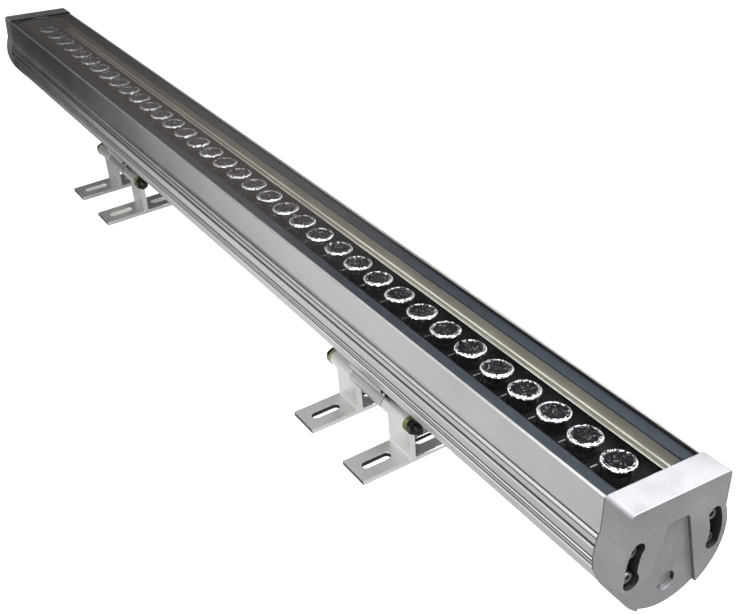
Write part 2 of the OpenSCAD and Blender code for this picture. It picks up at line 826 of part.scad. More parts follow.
// Places a child at each screw of the clamp at this end of the lamp
module each_clamp_screw(side) {
    for (step = [-1, 1])
        translate([side * bracket_x + step * clamp_screw_spacing / 2, 0, -section_h]) children();
}

module clamp(side) {
    x0 = side * bracket_x - clamp_len / 2;
    difference() {
        along_x(x0, x0 + clamp_len) clamp_profile();
        each_clamp_screw(side) translate([0, 0, -clamp_t - past])
            cylinder(r = clamp_screw_d / 2 + free_gap, h = clamp_t + 2 * past);
    }
}

module near_clamp() {
    color("#c4c6c6") lamp_pose() clamp(1);
}

module far_clamp() {
    color("#c4c6c6") lamp_pose() clamp(-1);
}

module clamp_screw_set(side) {
    shank = clamp_t + lip_t + square_nut_t;
    each_clamp_screw(side) translate([0, 0, -clamp_t]) {
        cylinder(d = clamp_screw_d, h = shank);
        translate([0, 0, -clamp_head_h])
            cylinder(d = clamp_head_flats / cos(30), h = clamp_head_h, $fn = 6);
    }
}

module near_clamp_screws() {
    color("#c9b65a") lamp_pose() clamp_screw_set(1);
}

module far_clamp_screws() {
    color("#c9b65a") lamp_pose() clamp_screw_set(-1);
}

module clamp_nut_set(side) {
    each_clamp_screw(side) translate([0, 0, lip_t]) difference() {
        translate([-square_nut_w / 2, -square_nut_w / 2, 0])
            cube([square_nut_w, square_nut_w, square_nut_t]);
        translate([0, 0, -past]) cylinder(r = clamp_screw_d / 2 + fit, h = square_nut_t + 2 * past);
    }
}

module near_clamp_nuts() {
    color("#c9b65a") lamp_pose() clamp_nut_set(1);
}

module far_clamp_nuts() {
    color("#c9b65a") lamp_pose() clamp_nut_set(-1);
}

// The T shaped foot, drawn with the hinge axis at y = 0: plate, web and knuckle
module foot_profile() {
    web_y = web_back - web_t / 2;
    difference() {
        union() {
            translate([foot_front_y, 0]) square([foot_len, foot_t]);
            translate([web_y, 0]) square([web_t, hinge_h]);
            translate([0, hinge_h]) circle(r = knuckle_r);
            difference() {
                translate([web_y - web_fillet_r, 0])
                    square([web_t + 2 * web_fillet_r, foot_t + web_fillet_r]);
                for (y = [web_y - web_fillet_r, web_y + web_t + web_fillet_r])
                    translate([y, foot_t + web_fillet_r]) circle(r = web_fillet_r);
            }
        }
        translate([0, hinge_h]) circle(r = bore_r);
    }
}

// One foot from x0 on, with a slot before and a slot behind its web
module foot(x0) {
    end_y = slot_len / 2 - slot_w / 2;
    translate([0, hinge_y, 0]) difference() {
        along_x(x0, x0 + foot_w) foot_profile();
        for (side = [-1, 1])
            translate([x0 + foot_w / 2, web_back + side * slot_spacing / 2, -past]) {
                translate([-slot_w / 2, -end_y, 0]) cube([slot_w, 2 * end_y, foot_t + 2 * past]);
                for (tip = [-1, 1])
                    translate([0, tip * end_y, 0]) cylinder(d = slot_w, h = foot_t + 2 * past);
            }
    }
}

module near_outer_foot() {
    color("#d8d9d9") foot(bracket_x + bracket_w / 2 - foot_w);
}

module near_inner_foot() {
    color("#d8d9d9") foot(bracket_x - bracket_w / 2);
}

module far_inner_foot() {
    color("#b9bbbb") foot(-bracket_x + bracket_w / 2 - foot_w);
}

module far_outer_foot() {
    color("#b9bbbb") foot(-bracket_x - bracket_w / 2);
}

// The hinge bolt, with its head at the low end of X
module hinge_bolt(side) {
    head_x = side * bracket_x - bracket_w / 2 - washer_t;
    point = [hinge_y, hinge_h];
    hex_x(point, bolt_flats, head_x - bolt_head_h, head_x);
    rod_x(point, bolt_d / 2, head_x - past, head_x + bolt_grip + bolt_nut_h + bolt_tail);
}

module near_hinge_bolt() {
    color("#33322b") hinge_bolt(1);
}

module far_hinge_bolt() {
    color("#33322b") hinge_bolt(-1);
}

module hinge_nut(side) {
    nut_x = side * bracket_x + bracket_w / 2 + 2 * washer_t;
    point = [hinge_y, hinge_h];
    difference() {
        hex_x(point, bolt_flats, nut_x, nut_x + bolt_nut_h);
        rod_x(point, bore_r, nut_x - past, nut_x + bolt_nut_h + past);
    }
}

module near_hinge_nut() {
    color("#2c2b26") hinge_nut(1);
}

module far_hinge_nut() {
    color("#2c2b26") hinge_nut(-1);
}

// One washer under the head, and a flat and a spring washer under the nut
module hinge_washer_set(side) {
    middle = side * bracket_x;
    point = [hinge_y, hinge_h];
    spring_d = (washer_d + bolt_d) / 2 + washer_t;
    difference() {
        union() {
            rod_x(point, washer_d / 2, middle - bracket_w / 2 - washer_t, middle - bracket_w / 2);
            rod_x(point, washer_d / 2, middle + bracket_w / 2, middle + bracket_w / 2 + washer_t);
        }
        rod_x(point, bolt_d / 2 + free_gap, middle - bracket_w, middle + bracket_w);
    }
    difference() {
        rod_x(point, spring_d / 2, middle + bracket_w / 2 + washer_t, middle + bracket_w / 2 + 2 * washer_t);
        rod_x(point, bolt_d / 2 + free_gap, middle, middle + bracket_w);
        translate([middle + bracket_w / 2, hinge_y - past / 2, hinge_h])
            rotate([12, 0, 0]) cube([3 * washer_t, past / 2, washer_d]);
    }
}

module near_hinge_washers() {
    color("#cdbb58") hinge_washer_set(1);
}

module far_hinge_washers() {
    color("#cdbb58") hinge_washer_set(-1);
}

housing();
cover_glass();
glass_gasket_strips();
glass_sealant();
near_end_cap();
far_end_cap();
near_end_gasket();
far_end_gasket();
near_cap_screws();
far_cap_screws();
cable_inlet();
led_board();
thermal_pad();
led_emitters();
lens_holders();
lenses();
driver_plate();
led_driver();
driver_screws();
board_leads();
lead_grommet();
near_clamp();
far_clamp();
near_clamp_screws();
far_clamp_screws();
near_clamp_nuts();
far_clamp_nuts();
near_outer_foot();
near_inner_foot();
far_inner_foot();
far_outer_foot();
near_hinge_bolt();
far_hinge_bolt();
near_hinge_nut();
far_hinge_nut();
near_hinge_washers();
far_hinge_washers();
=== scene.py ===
"""Looks of the linear wall washer lamp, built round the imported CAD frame.

Lengths are in millimetres until a mesh is made, and in metres on the stage. "Lamp frame" means
X along the lamp, Y across it and Z up, with zero at the middle of the flat tops of the end
caps, before the lamp is tilted about its hinge.
"""

import json
import math

import bmesh
import bpy
import numpy as np
from bpy.props import FloatProperty, FloatVectorProperty, IntProperty, PointerProperty
from mathutils import Matrix, Vector
from mathutils.geometry import tessellate_polygon


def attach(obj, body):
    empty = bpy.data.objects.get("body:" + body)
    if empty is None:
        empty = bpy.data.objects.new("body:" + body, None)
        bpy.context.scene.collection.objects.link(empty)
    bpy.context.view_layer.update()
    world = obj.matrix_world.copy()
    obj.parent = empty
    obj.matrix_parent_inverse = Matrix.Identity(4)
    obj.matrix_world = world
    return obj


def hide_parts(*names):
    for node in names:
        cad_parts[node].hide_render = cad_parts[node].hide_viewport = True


bl_info = {
    "name": "Wall washer lamp",
    "version": (1, 0, 0),
    "blender": (4, 5, 0),
    "location": "View3D > Sidebar > Lamp",
    "description": "Builds the looks of a linear wall washer lamp round its CAD frame",
    "category": "Object",
}

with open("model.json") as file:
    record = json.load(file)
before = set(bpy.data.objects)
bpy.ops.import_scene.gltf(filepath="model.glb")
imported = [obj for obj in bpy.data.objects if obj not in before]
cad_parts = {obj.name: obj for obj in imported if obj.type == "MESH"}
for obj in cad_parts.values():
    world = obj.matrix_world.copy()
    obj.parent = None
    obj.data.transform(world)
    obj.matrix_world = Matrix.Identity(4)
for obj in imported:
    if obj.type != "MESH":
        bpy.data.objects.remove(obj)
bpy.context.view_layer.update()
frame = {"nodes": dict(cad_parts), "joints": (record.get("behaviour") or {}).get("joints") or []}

MM = 0.001
LAMP, FEET = "lamp", "feet"

# Every finish by its name, once the operator lamp.finishes has run
FINISH = {}

# Y and Z of the hinge axis in the lamp frame and in the world, and the lamp's tilt at rest
PIVOT = (-12.5, -87.2)
HINGE = tuple(p / MM for p in frame["joints"][0]["pos_m"][1:])
TILT = math.radians(4.5)

# Lamp frame: the housing's round sides (height of the middle, radius), the top of the board, the
# foot of the lenses, the half lengths of housing and lamp, the lens row, and the middle and
# length of a bracket
ROUND_Z, HOUSING_R = -37.5, 37.0
BOARD_TOP, LENS_Z = -22.0, -21.4
HOUSING_END, LAMP_HALF = 480.2, 500.0
LENS_COUNT, PITCH, FIRST_LENS = 36, 26.0, -455.0
BRACKET_X, BRACKET_W = 232.4, 95.0

# Y (either side) and Z of the cap screws
SCREWS = ((27.61, -27.99), (28.43, -44.17))

# Grooves along the round sides: height over the middle of the round, and width
GROOVES = ((12.5, 0.7), (9.5, 0.6), (5.7, 1.3), (-1.7, 0.8), (-4.5, 1.1), (-7.1, 1.1),
           (-10.6, 0.6))

# Edges that turn more than this, in degrees, are drawn sharp
CREASE = 30

# How far the cover glass sinks into the soft gaskets and sealant that hold it
BEDDING = 0.05

# Y of the lens row once world points are turned back by the tilt about the world's origin
ROW_Y = HINGE[0] * math.cos(TILT) - HINGE[1] * math.sin(TILT) - PIVOT[0]


def srgb(code):
    """Linear colour of an sRGB hex code: c / 12.92 up to 0.04045, else
    ((c + 0.055) / 1.055) ** 2.4."""
    c = np.array([int(code[i:i + 2], 16) for i in (1, 3, 5)]) / 255
    return tuple(np.where(c <= 0.04045, c / 12.92, ((c + 0.055) / 1.055) ** 2.4))


# ---- shapes ----

def world_mm(points):
    """World metres to world millimetres."""
    return points / MM


def about_axis(points, axis, to_axis, turn):
    """Turns points about X, from one axis (Y, Z) to another: with y and z counted from the first,
    y cos t + z sin t and z cos t - y sin t are added to the second."""
    x, y, z = points.T
    y, z, c, s = y - axis[0], z - axis[1], math.cos(turn), math.sin(turn)
    return np.stack([x, to_axis[0] + y * c + z * s, to_axis[1] - y * s + z * c], 1)


def lamp_points(points):
    """Lamp frame to world, in metres."""
    return about_axis(points, PIVOT, HINGE, TILT) * MM


def lamp_frame(points):
    """World metres back to the lamp frame."""
    return about_axis(world_mm(points), HINGE, PIVOT, -TILT)


def hinge_points(points):
    """Points given about the hinge axis to world metres: Y and Z shift by the axis."""
    return (points + (0, *HINGE)) * MM


def read(items, key, width=1, kind=float):
    """What Blender holds for the items of a mesh, as an array with one row for each."""
    held = np.empty(len(items) * width, kind)
    items.foreach_get(key, held)
    return held.reshape(-1, width) if width > 1 else held


def piece(name, points, faces, finish, body, nodes=(), crease=CREASE):
    """A mesh from arrays of points in metres and faces, smooth except past the crease angle."""
    mesh = bpy.data.meshes.new(name)
    mesh.from_pydata(points.tolist(), [], [list(map(int, f)) for f in faces])
    mesh.validate()
    shape = bmesh.new()
    shape.from_mesh(mesh)
    bmesh.ops.remove_doubles(shape, verts=shape.verts, dist=1e-7)
    bmesh.ops.recalc_face_normals(shape, faces=shape.faces)
    shape.to_mesh(mesh)
    shape.free()
    return dress(name, mesh, finish, body, nodes, crease)


def dress(name, mesh, finish, body, nodes, crease):
    """Puts a mesh in the scene with its finish, body, replaced nodes and material slot."""
    mesh.shade_smooth()
    mesh.set_sharp_from_angle(angle=math.radians(crease))
    thing = bpy.data.objects.new(name, mesh)
    bpy.context.scene.collection.objects.link(thing)
    mesh.materials.append(FINISH[finish])
    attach(thing, body)
    if nodes:
        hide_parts(*nodes)
    return thing


def second_finish(thing, finish, chosen, to_mm=lamp_frame):
    """Gives the faces that pass a test another finish. The test gets the x, y and z of the face
    centres in millimetres, in the lamp frame unless told otherwise, and the face normals."""
    mesh, faces = thing.data, thing.data.polygons
    picked = chosen(*to_mm(read(faces, "center", 3)).T, read(faces, "normal", 3))
    index = read(faces, "material_index", kind=np.int32)
    index[picked] = len(mesh.materials)
    faces.foreach_set("material_index", index)
    mesh.materials.append(FINISH[finish])
    mesh.update()


def shifted(faces, count):
    """Faces with their point numbers raised by a count."""
    return [tuple(v + count for v in face) for face in faces]


def tube_faces(rows, columns, closed=False):
    """Quads between rings of points, each ring a row of columns. The last ring joins the first
    when the tube is closed, and else a face fills each end."""
    i = np.arange(rows if closed else rows - 1)[:, None]
    j = np.arange(columns)
    after, above = (j + 1) % columns, (i + 1) % rows * columns
    quads = np.stack([i * columns + j, i * columns + after, above + after, above + j], -1)
    faces = [tuple(f) for f in quads.reshape(-1, 4)]
    if not closed:
        faces += [tuple(range(columns))[::-1], tuple(range((rows - 1) * columns, rows * columns))]
    return faces


def tile(points, faces, places, turns=0.0):
    """One copy of a mesh at each place: points, turned about the vertical by that place's angle,
    plus the place; face numbers plus the count."""
    places = np.array(places, float)[:, None]
    angle = np.broadcast_to(turns, len(places))[:, None]
    c, s = np.cos(angle), np.sin(angle)
    x, y, z = points.T
    spun = np.stack([x * c - y * s, x * s + y * c, z + 0 * c], -1)
    copies = [f for k in range(len(places)) for f in shifted(faces, len(points) * k)]
    return (places + spun).reshape(-1, 3), copies


def turned(profile, steps, radius_rule, closed=False):
    """A profile of (radius, height) turned about the vertical: x = r cos a, y = r sin a, z = h.
    radius_rule(r, h, a) reshapes the radius by angle. Open ends are closed by round faces."""
    angle = np.arange(steps) * (2 * math.pi / steps)
    r, h = np.array(profile, float).T
    radius = radius_rule(np.repeat(r[:, None], steps, 1), h[:, None], angle)
    height = np.repeat(h[:, None], steps, 1)
    points = np.stack([radius * np.cos(angle), radius * np.sin(angle), height], -1)
    return points.reshape(-1, 3), tube_faces(len(r), steps, closed)


def along_x(points):
    """Turns a shape made about the vertical to lie along X: (x, y, z) becomes (z, x, y)."""
    return points[:, [2, 0, 1]]


def hexagon(flats):
    """Distance to the edge of a hexagon by angle: half its flats over the cosine of the angle to
    the nearest flat."""
    return lambda a: flats / 2 / np.cos((a + math.pi / 6) % (math.pi / 3) - math.pi / 6)


def ordered_loops(after):
    """Sorts a ring table (after[i] follows i) into loops by pointer doubling, with no walk over
    points."""
    count = len(after)
    lead, jump = np.arange(count), after.copy()
    rounds = count.bit_length() + 1
    for _ in range(rounds):
        lead, jump = np.minimum(lead, lead[jump]), jump[jump]
    here = np.arange(count)
    jump = np.where(after == lead, here, after)
    steps = (jump != here).astype(int)
    for _ in range(rounds):
        steps, jump = steps + steps[jump], jump[jump]
    order = np.lexsort((-steps, lead))
    return np.split(order, np.flatnonzero(np.diff(lead[order])) + 1)


def section_loops(node):
    """Outlines (Y, Z in the lamp frame) of the flat end of a CAD prism at its highest X: the
    edges of the triangles there that no other one of them has, linked point by point."""
    mesh = frame["nodes"][node].data
    co = lamp_frame(read(mesh.vertices, "co", 3))
    tri = read(mesh.loops, "vertex_index", kind=int)
    _, first, same = np.unique(np.round(co, 3), axis=0, return_index=True, return_inverse=True)
    co, tri = co[first], same.reshape(-1)[tri].reshape(-1, 3)
    end = tri[(co[tri][:, :, 0] > co[:, 0].max() - 0.001).all(1)]
    edges = end[:, [0, 1, 1, 2, 2, 0]].reshape(-1, 2)
    rim = edges[~np.isin(edges @ (len(co), 1), edges @ (1, len(co)))]
    used, small = np.unique(rim, return_inverse=True)
    after = np.empty(len(used), int)
    tail, head = small.reshape(-1, 2).T
    after[tail] = head
    return [co[used[loop]][:, 1:] for loop in ordered_loops(after)]


def rounded(loop, radius):
    """Rounds the corners of a closed outline that turn more than 25 degrees. A corner p between
    its neighbours a and b becomes a curve (1-t)^2 s + 2t(1-t) p + t^2 e in 3 steps, where s and e
    lie on the two sides at radius * tan(turn / 2) from p, and at most 0.4 of a side."""
    before, after = np.roll(loop, 1, 0) - loop, np.roll(loop, -1, 0) - loop
    long_b, long_a = np.linalg.norm(before, axis=1), np.linalg.norm(after, axis=1)
    turn = math.pi - np.arccos(np.clip((before * after).sum(1) / long_b / long_a, -1, 1))
    fit = radius * np.tan(np.minimum(turn, 2.6) / 2)
    back = np.minimum(fit, 0.4 * np.minimum(long_a, long_b))
    sharp = turn > math.radians(25)
    t = np.linspace(0, 1, 4)[None, :, None]
    s = (loop + before * (back / long_b)[:, None])[:, None]
    e = (loop + after * (back / long_a)[:, None])[:, None]
    curve = (1 - t) ** 2 * s + 2 * t * (1 - t) * loop[:, None] + t ** 2 * e
    keep = np.zeros(curve.shape[:2], bool)
    keep[:, 0] = True
    keep[sharp] = True
    curve[~sharp, 0] = loop[~sharp]
    return curve[keep]


def extruded(loops, x0, x1):
    """Closed outlines carried from x0 to x1, with both ends filled between outline and holes."""
    flat = np.concatenate(loops)
    total, start, faces = len(flat), 0, []
    points = [np.column_stack([np.full(total, float(x)), flat]) for x in (x0, x1)]
    for loop in loops:
        i = np.arange(len(loop)) + start
        j = np.roll(i, -1)
        faces += [tuple(f) for f in np.stack([i, j, j + total, i + total], 1)]
        start += len(loop)
    end = tessellate_polygon([[Vector((0, *p)) for p in loop] for loop in loops])
    return np.concatenate(points), faces + shifted(end, 0) + shifted(end, total)


def softened_copy(name, node, width, finish, body):
    """A CAD node's mesh, merged and with its flat faces joined, its edges rounded by Bevel."""
    shape = bmesh.new()
    shape.from_mesh(frame["nodes"][node].data)
    bmesh.ops.remove_doubles(shape, verts=shape.verts, dist=1e-6)
    bmesh.ops.dissolve_limit(
        shape, angle_limit=math.radians(0.5), verts=shape.verts, edges=shape.edges)
    mesh = bpy.data.meshes.new(name)
    shape.to_mesh(mesh)
    shape.free()
    thing = dress(name, mesh, finish, body, (node,), CREASE)
    bevel = thing.modifiers.new("Rounded edges", "BEVEL")
    bevel.width, bevel.segments = width * MM, 2
    bevel.limit_method, bevel.angle_limit = "ANGLE", math.radians(CREASE)
    bevel.use_clamp_overlap = False
    bevel.harden_normals = True
    return thing


# ---- finishes ----

def fill(tree, node, values):
    """Fills a node's inputs: a socket, or the first output of a node, is linked, and any other
    value is set."""
    for key, value in values.items():
        if isinstance(value, bpy.types.Node):
            value = value.outputs[0]
        if isinstance(value, bpy.types.NodeSocket):
            tree.links.new(value, node.inputs[key])
        else:
            node.inputs[key].default_value = value


def add_node(tree, kind, values=None, **settings):
    """Adds a shader node of a kind, sets its properties and fills its inputs."""
    node = tree.nodes.new("ShaderNode" + kind)
    for key, value in settings.items():
        setattr(node, key, value)
    fill(tree, node, values or {})
    return node


def blank_finish(name, values):
    """A new finish with one Principled shader, whose constants go on its own sockets."""
    FINISH[name] = bpy.data.materials.new(name)
    FINISH[name].use_nodes = True
    tree = FINISH[name].node_tree
    shader = tree.nodes["Principled BSDF"]
    fill(tree, shader, values)
    return tree, shader


def start_finish(name, values):
    """A blank finish, and with it the object's coordinates turned into the lamp frame."""
    tree, shader = blank_finish(name, values)
    place = add_node(tree, "TexCoord").outputs["Object"]
    return tree, shader, add_node(tree, "Mapping", {"Vector": place, "Rotation": (TILT, 0, 0)})


def colour_spread(tree, factor, low, high, ends=(0.3, 0.7)):
    """A ramp between two colours, given as sRGB hex codes."""
    ramp = add_node(tree, "ValToRGB", {"Fac": factor})
    for stop, at, code in zip(ramp.color_ramp.elements, ends, (low, high)):
        stop.position, stop.color = at, (*srgb(code), 1)
    return ramp


# How a surface is drawn: the scale of its fine noise along X, the detail and roughness of that
# noise, width in mm and detail of the cloud, share of the fine noise, and bump strength. Drawn
# metal has fine lines along X, the way it left the die, and other surfaces have an even grain.
DRAWN = (0.015, 2.0, 0.5, 45.45, 4.0, 0.7, 0.12)
EVEN = (1.0, 3.0, 0.55, 28.57, 3.0, 0.6, 0.4)


def skin(kind, name, low, high, metallic, roughness, spread, width, depth, specular=0.5):
    """A finish with a fine noise and a slow cloud. Mixed, they spread its colour between two hex
    codes and its roughness by plus or minus the spread. The fine noise alone moves the height."""
    stretch, detail, rough_detail, cloud_width, cloud_detail, share, strength = kind
    tree, shader, place = start_finish(
        name, {"Metallic": metallic, "Specular IOR Level": specular})
    drawn = add_node(tree, "Mapping", {"Vector": place, "Scale": (stretch, 1, 1)})
    fine = add_node(tree, "TexNoise", {
        "Vector": drawn, "Scale": 1 / (width * MM), "Detail": detail, "Roughness": rough_detail})
    cloud = add_node(tree, "TexNoise", {
        "Vector": place, "Scale": 1 / (cloud_width * MM), "Detail": cloud_detail})
    mixed = add_node(tree, "Mix", {"Factor": share, "A": fine, "B": cloud})
    rough = add_node(tree, "MapRange", {
        "Value": mixed, "From Min": 0.3, "From Max": 0.7,
        "To Min": roughness - spread, "To Max": roughness + spread})
    bump = add_node(tree, "Bump", {"Height": fine, "Strength": strength, "Distance": depth * MM})
    fill(tree, shader, {"Base Color": colour_spread(tree, mixed, low, high), "Roughness": rough,
                        "Normal": bump})


def let_light_through(tree, shader):
    """Shadow rays pass a clear piece, as light passes real glass, so what is behind it is lit."""
    path = add_node(tree, "LightPath")
    clear = add_node(tree, "BsdfTransparent")
    mix = add_node(tree, "MixShader", {0: path.outputs["Is Shadow Ray"], 1: shader, 2: clear})
    fill(tree, tree.nodes["Material Output"], {"Surface": mix})


def clear_glass():
    """Toughened float glass: clear with a faint green cast in waves of 111 mm, and so smooth that
    it mirrors at a low angle. A thin film of dust on its upper face shows only where one looks
    along the surface."""
    tree, shader, place = start_finish("toughened_glass", {
        "Roughness": 0.02, "IOR": 1.52, "Transmission Weight": 1.0})
    wave = add_node(tree, "TexNoise", {"Vector": place, "Scale": 1 / (111.1 * MM), "Detail": 1.0})
    fill(tree, shader, {"Base Color": colour_spread(tree, wave, "#f8faf8", "#fcfdfc")})
    graze = add_node(tree, "LayerWeight", {"Blend": 0.5})
    side = add_node(tree, "SeparateXYZ", {0: add_node(tree, "TexCoord").outputs["Normal"]})
    upper = add_node(tree, "MapRange", {
        "Value": side.outputs["Z"], "From Min": 0.9, "From Max": 0.95, "To Max": 0.5})
    film = add_node(tree, "MapRange", {
        "Value": graze.outputs["Facing"], "From Min": 0.52, "From Max": 0.8,
        "To Max": upper})
    dust = add_node(tree, "BsdfDiffuse", {"Color": (*srgb("#655e5a"), 1)})
    dusty = add_node(tree, "MixShader", {0: film, 1: shader, 2: dust})
    let_light_through(tree, dusty)


def rim_painted_reflection():
    """The rim of a moulded acrylic lens. Light is turned round inside it by total reflection; that
    light is painted on as a reflection: metal broken into small flat cells, bright and dark, 1.05
    mm across."""
    tree, shader, place = start_finish("lens_rim_painted_reflection", {
        "Metallic": 0.92, "Roughness": 0.16})
    # Painted reflection: each cell of the rim is bright or dark metal
    cells = add_node(tree, "TexVoronoi", {"Vector": place, "Scale": 1 / (1.05 * MM)})
    reflection_cells = colour_spread(tree, cells.outputs["Color"], "#08080b", "#f6f6f8", (0.3, 0.66))
    bump = add_node(tree, "Bump", {
        "Height": cells.outputs["Distance"], "Strength": 0.8, "Distance": 0.4 * MM})
    fill(tree, shader, {"Base Color": reflection_cells, "Normal": bump})


def lens_bowl_acrylic():
    """The bowl of the lens over its black holder: near black with a violet cast, olive over the
    phosphor in the middle, and dented into cells of 1.15 mm. A few flecks of 0.6 mm are bright
    metal, painted glints. The distance from a lens's axis comes from wrapping X at the pitch. Of a
    Mix node, 6 and 7 are the colours that go in and 2 is the colour that comes out."""
    tree, shader, place = start_finish("lens_bowl_acrylic", {
        "Roughness": 0.12, "IOR": 1.49, "Specular IOR Level": 0.1})
    first = add_node(tree, "VectorMath", {
        0: place, 1: (-FIRST_LENS * MM, -ROW_Y * MM, 0)}, operation="ADD")
    half = PITCH * MM / 2
    own = add_node(tree, "VectorMath", {
        0: first, 1: (half, 1, 1), 2: (-half, -1, -1)}, operation="WRAP")
    flat = add_node(tree, "VectorMath", {0: own, 1: (1, 1, 0)}, operation="MULTIPLY")
    away = add_node(tree, "VectorMath", {0: flat}, operation="LENGTH")
    middle = add_node(tree, "MapRange", {
        "Value": away.outputs["Value"], "From Min": 1.6 * MM, "From Max": 4.2 * MM})
    deep = colour_spread(tree, middle, "#12130b", "#070609", (0.0, 1.0))
    cells = add_node(tree, "TexVoronoi", {"Vector": place, "Scale": 1 / (1.15 * MM)})
    net = add_node(tree, "MapRange", {
        "Value": cells.outputs["Distance"], "From Min": 0.35, "From Max": 0.75, "To Max": 0.8})
    lined = add_node(tree, "Mix", {
        "Factor": net, 6: deep, 7: (*srgb("#131216"), 1)}, data_type="RGBA")
    # Painted glints: a few cells of bright metal
    glint_cells = add_node(tree, "TexVoronoi", {"Vector": place, "Scale": 1 / (0.6 * MM)})
    fleck = add_node(tree, "SeparateColor", {0: glint_cells.outputs["Color"]})
    glint = add_node(tree, "MapRange", {"Value": fleck, "From Min": 0.92, "From Max": 0.95})
    tint = add_node(tree, "Mix", {
        "Factor": glint, 6: lined.outputs[2], 7: (*srgb("#e1e1e7"), 1)},
        data_type="RGBA")
    dent = add_node(tree, "Bump", {
        "Height": cells.outputs["Distance"], "Strength": 0.6, "Distance": 0.3 * MM})
    fill(tree, shader, {"Base Color": tint.outputs[2], "Metallic": glint, "Normal": dent})


def black_solder_mask():
    """Black solder mask on a metal core board: a smooth dark lacquer over copper areas of 26 x
    12.5 mm, which show as faint raised fields with narrow gaps between them."""
    tree, shader, place = start_finish("black_solder_mask", {
        "IOR": 1.5, "Specular IOR Level": 0.04})
    fields = add_node(tree, "TexBrick", {
        "Vector": place, "Scale": 1.0, "Brick Width": 26 * MM, "Row Height": 12.5 * MM,
        "Mortar Size": 0.3 * MM, "Mortar Smooth": 0.2, "Color1": (1, 1, 1, 1),
        "Color2": (0.8, 0.8, 0.8, 1), "Mortar": (0, 0, 0, 1)}, offset=0.5)
    lacquer = colour_spread(tree, fields, "#030203", "#070608", (0.0, 1.0))
    haze = add_node(tree, "TexNoise", {"Vector": place, "Scale": 1 / (6.667 * MM), "Detail": 3.0})
    rough = add_node(tree, "MapRange", {"Value": haze, "To Min": 0.45, "To Max": 0.6})
    bump = add_node(tree, "Bump", {"Height": fields, "Strength": 0.5, "Distance": 0.05 * MM})
    fill(tree, shader, {"Base Color": lacquer, "Roughness": rough, "Normal": bump})


# Each row: the finish's name, two colours, metallic, roughness and its spread, and the width and
# depth of a line in mm
SATIN = (
    # Anodised 6063 extrusion: a satin grey metal with faint die lines along its length
    ("anodised_extrusion", "#c3c6c5", "#d0d2d1", 1.0, 0.32, 0.03, 0.25, 0.003),
    # Inside the tray the etched skin was never brushed: a duller, warmer grey that scatters
    ("etched_tray_skin", "#9a968b", "#aaa69b", 0.45, 0.42, 0.03, 0.4, 0.003),
    # Painted highlight: the same skin near white, on the rails' edges, the tray's lips, far slot
    # walls
    ("burnished_line", "#f0efe9", "#f8f7f3", 0.5, 0.3, 0.03, 0.4, 0.002),
    # Tops of the walls beside the glass, rubbed paler than the sides
    ("milled_rim", "#a6a6a3", "#b2b2af", 0.72, 0.36, 0.03, 0.3, 0.002),
    # Painted highlight on the tops of the side ribs: a paler, smoother grey
    ("burnished_rib", "#eeefee", "#f6f6f5", 1.0, 0.26, 0.03, 0.3, 0.002),
    # Painted shade: a dull dark grey deep in the side grooves and on the walls of a cap's pocket
    ("groove_skin", "#55575a", "#66686a", 0.7, 0.5, 0.03, 0.4, 0.003),
    # Bracket extrusion, plainer and brighter
    ("bright_extrusion", "#dbdcda", "#eaeae8", 0.9, 0.29, 0.04, 0.3, 0.003),
)

# The same with the width and depth of a grain, and the specular level where it is below 0.5
GRAINED = (
    # Sawn and punched edges of the feet, drawn dark beside their satin faces as painted shade
    ("sawn_aluminium", "#3f4140", "#565856", 0.7, 0.5, 0.05, 0.3, 0.02),
    # Blasted die casting: dull grey with an even grain, drawn at 0.6 mm so that it shows
    ("blasted_die_casting", "#767679", "#959598", 0.65, 0.48, 0.06, 0.6, 0.04),
    # Painted shade: near black on cap slots, recess walls and inner side, knuckle ends, near slots
    ("cast_skin", "#1f2022", "#303134", 0.4, 0.55, 0.05, 0.4, 0.03),
    # Slate grey foamed rubber under the glass: its open pores give it hardly any shine
    ("slate_foam_rubber", "#14181d", "#1c2127", 0.0, 0.8, 0.04, 0.6, 0.01, 0.15),
    # Sealant smoothed by hand: long flat waves and a weak shine
    ("black_silicone_sealant", "#08080a", "#101113", 0.0, 0.6, 0.05, 1.5, 0.01, 0.12),
    # Moulded rubber: dark grey rather than black, with a fine matt grain
    ("black_moulded_rubber", "#161718", "#222325", 0.0, 0.55, 0.06, 0.4, 0.03),
    # Grey silicone sheet between the caps and the housing
    ("grey_silicone_sheet", "#5f615f", "#6d6f6d", 0.0, 0.5, 0.05, 0.4, 0.02),
    # Worn steel of the cap screws, dull grey
    ("worn_screw_steel", "#6d6c66", "#93928a", 0.95, 0.3, 0.06, 0.5, 0.02),
    # Blackened steel of the bolts and nuts: oiled oxide, brown in the low spots
    ("blackened_steel", "#1f1e1c", "#3d3c38", 1.0, 0.17, 0.08, 0.5, 0.03),
    # Yellow chromate over zinc plate: patchy gold and green
    ("yellow_zinc_plate", "#77744e", "#c4c19a", 1.0, 0.22, 0.06, 1.2, 0.02),
    # Filled silicone pad: chalky and soft
    ("grey_thermal_pad", "#868f96", "#99a2a8", 0.0, 0.8, 0.05, 0.4, 0.02),
    # Phosphor under clear silicone
    ("phosphor_silicone", "#b9a545", "#d8c766", 0.0, 0.25, 0.05, 0.5, 0.01),
    # Moulded holders: deep black with a weak shine; also the painted shade on each lens's foot and
    # cone
    ("black_moulded_plastic", "#0a0a0c", "#121315", 0.0, 0.5, 0.06, 0.4, 0.01, 0.15),
    # Case of the driver: off-white plastic with a fine spark texture
    ("white_moulded_plastic", "#d6d6cf", "#e4e4de", 0.0, 0.48, 0.05, 0.5, 0.01),
    # Smooth red insulation of the leads
    ("red_lead_insulation", "#8f1512", "#ac2521", 0.0, 0.4, 0.05, 0.5, 0.01),
    # Pale grey marks on the board, between the lenses
    ("white_marking_ink", "#333332", "#777876", 0.0, 0.6, 0.05, 0.3, 0.02),
    # Painted highlight on the crest of the lip round a lens: a pale grey ring
    ("frosted_lens_lip", "#c9c9cd", "#dfdfe3", 0.3, 0.25, 0.05, 0.6, 0.02),
)


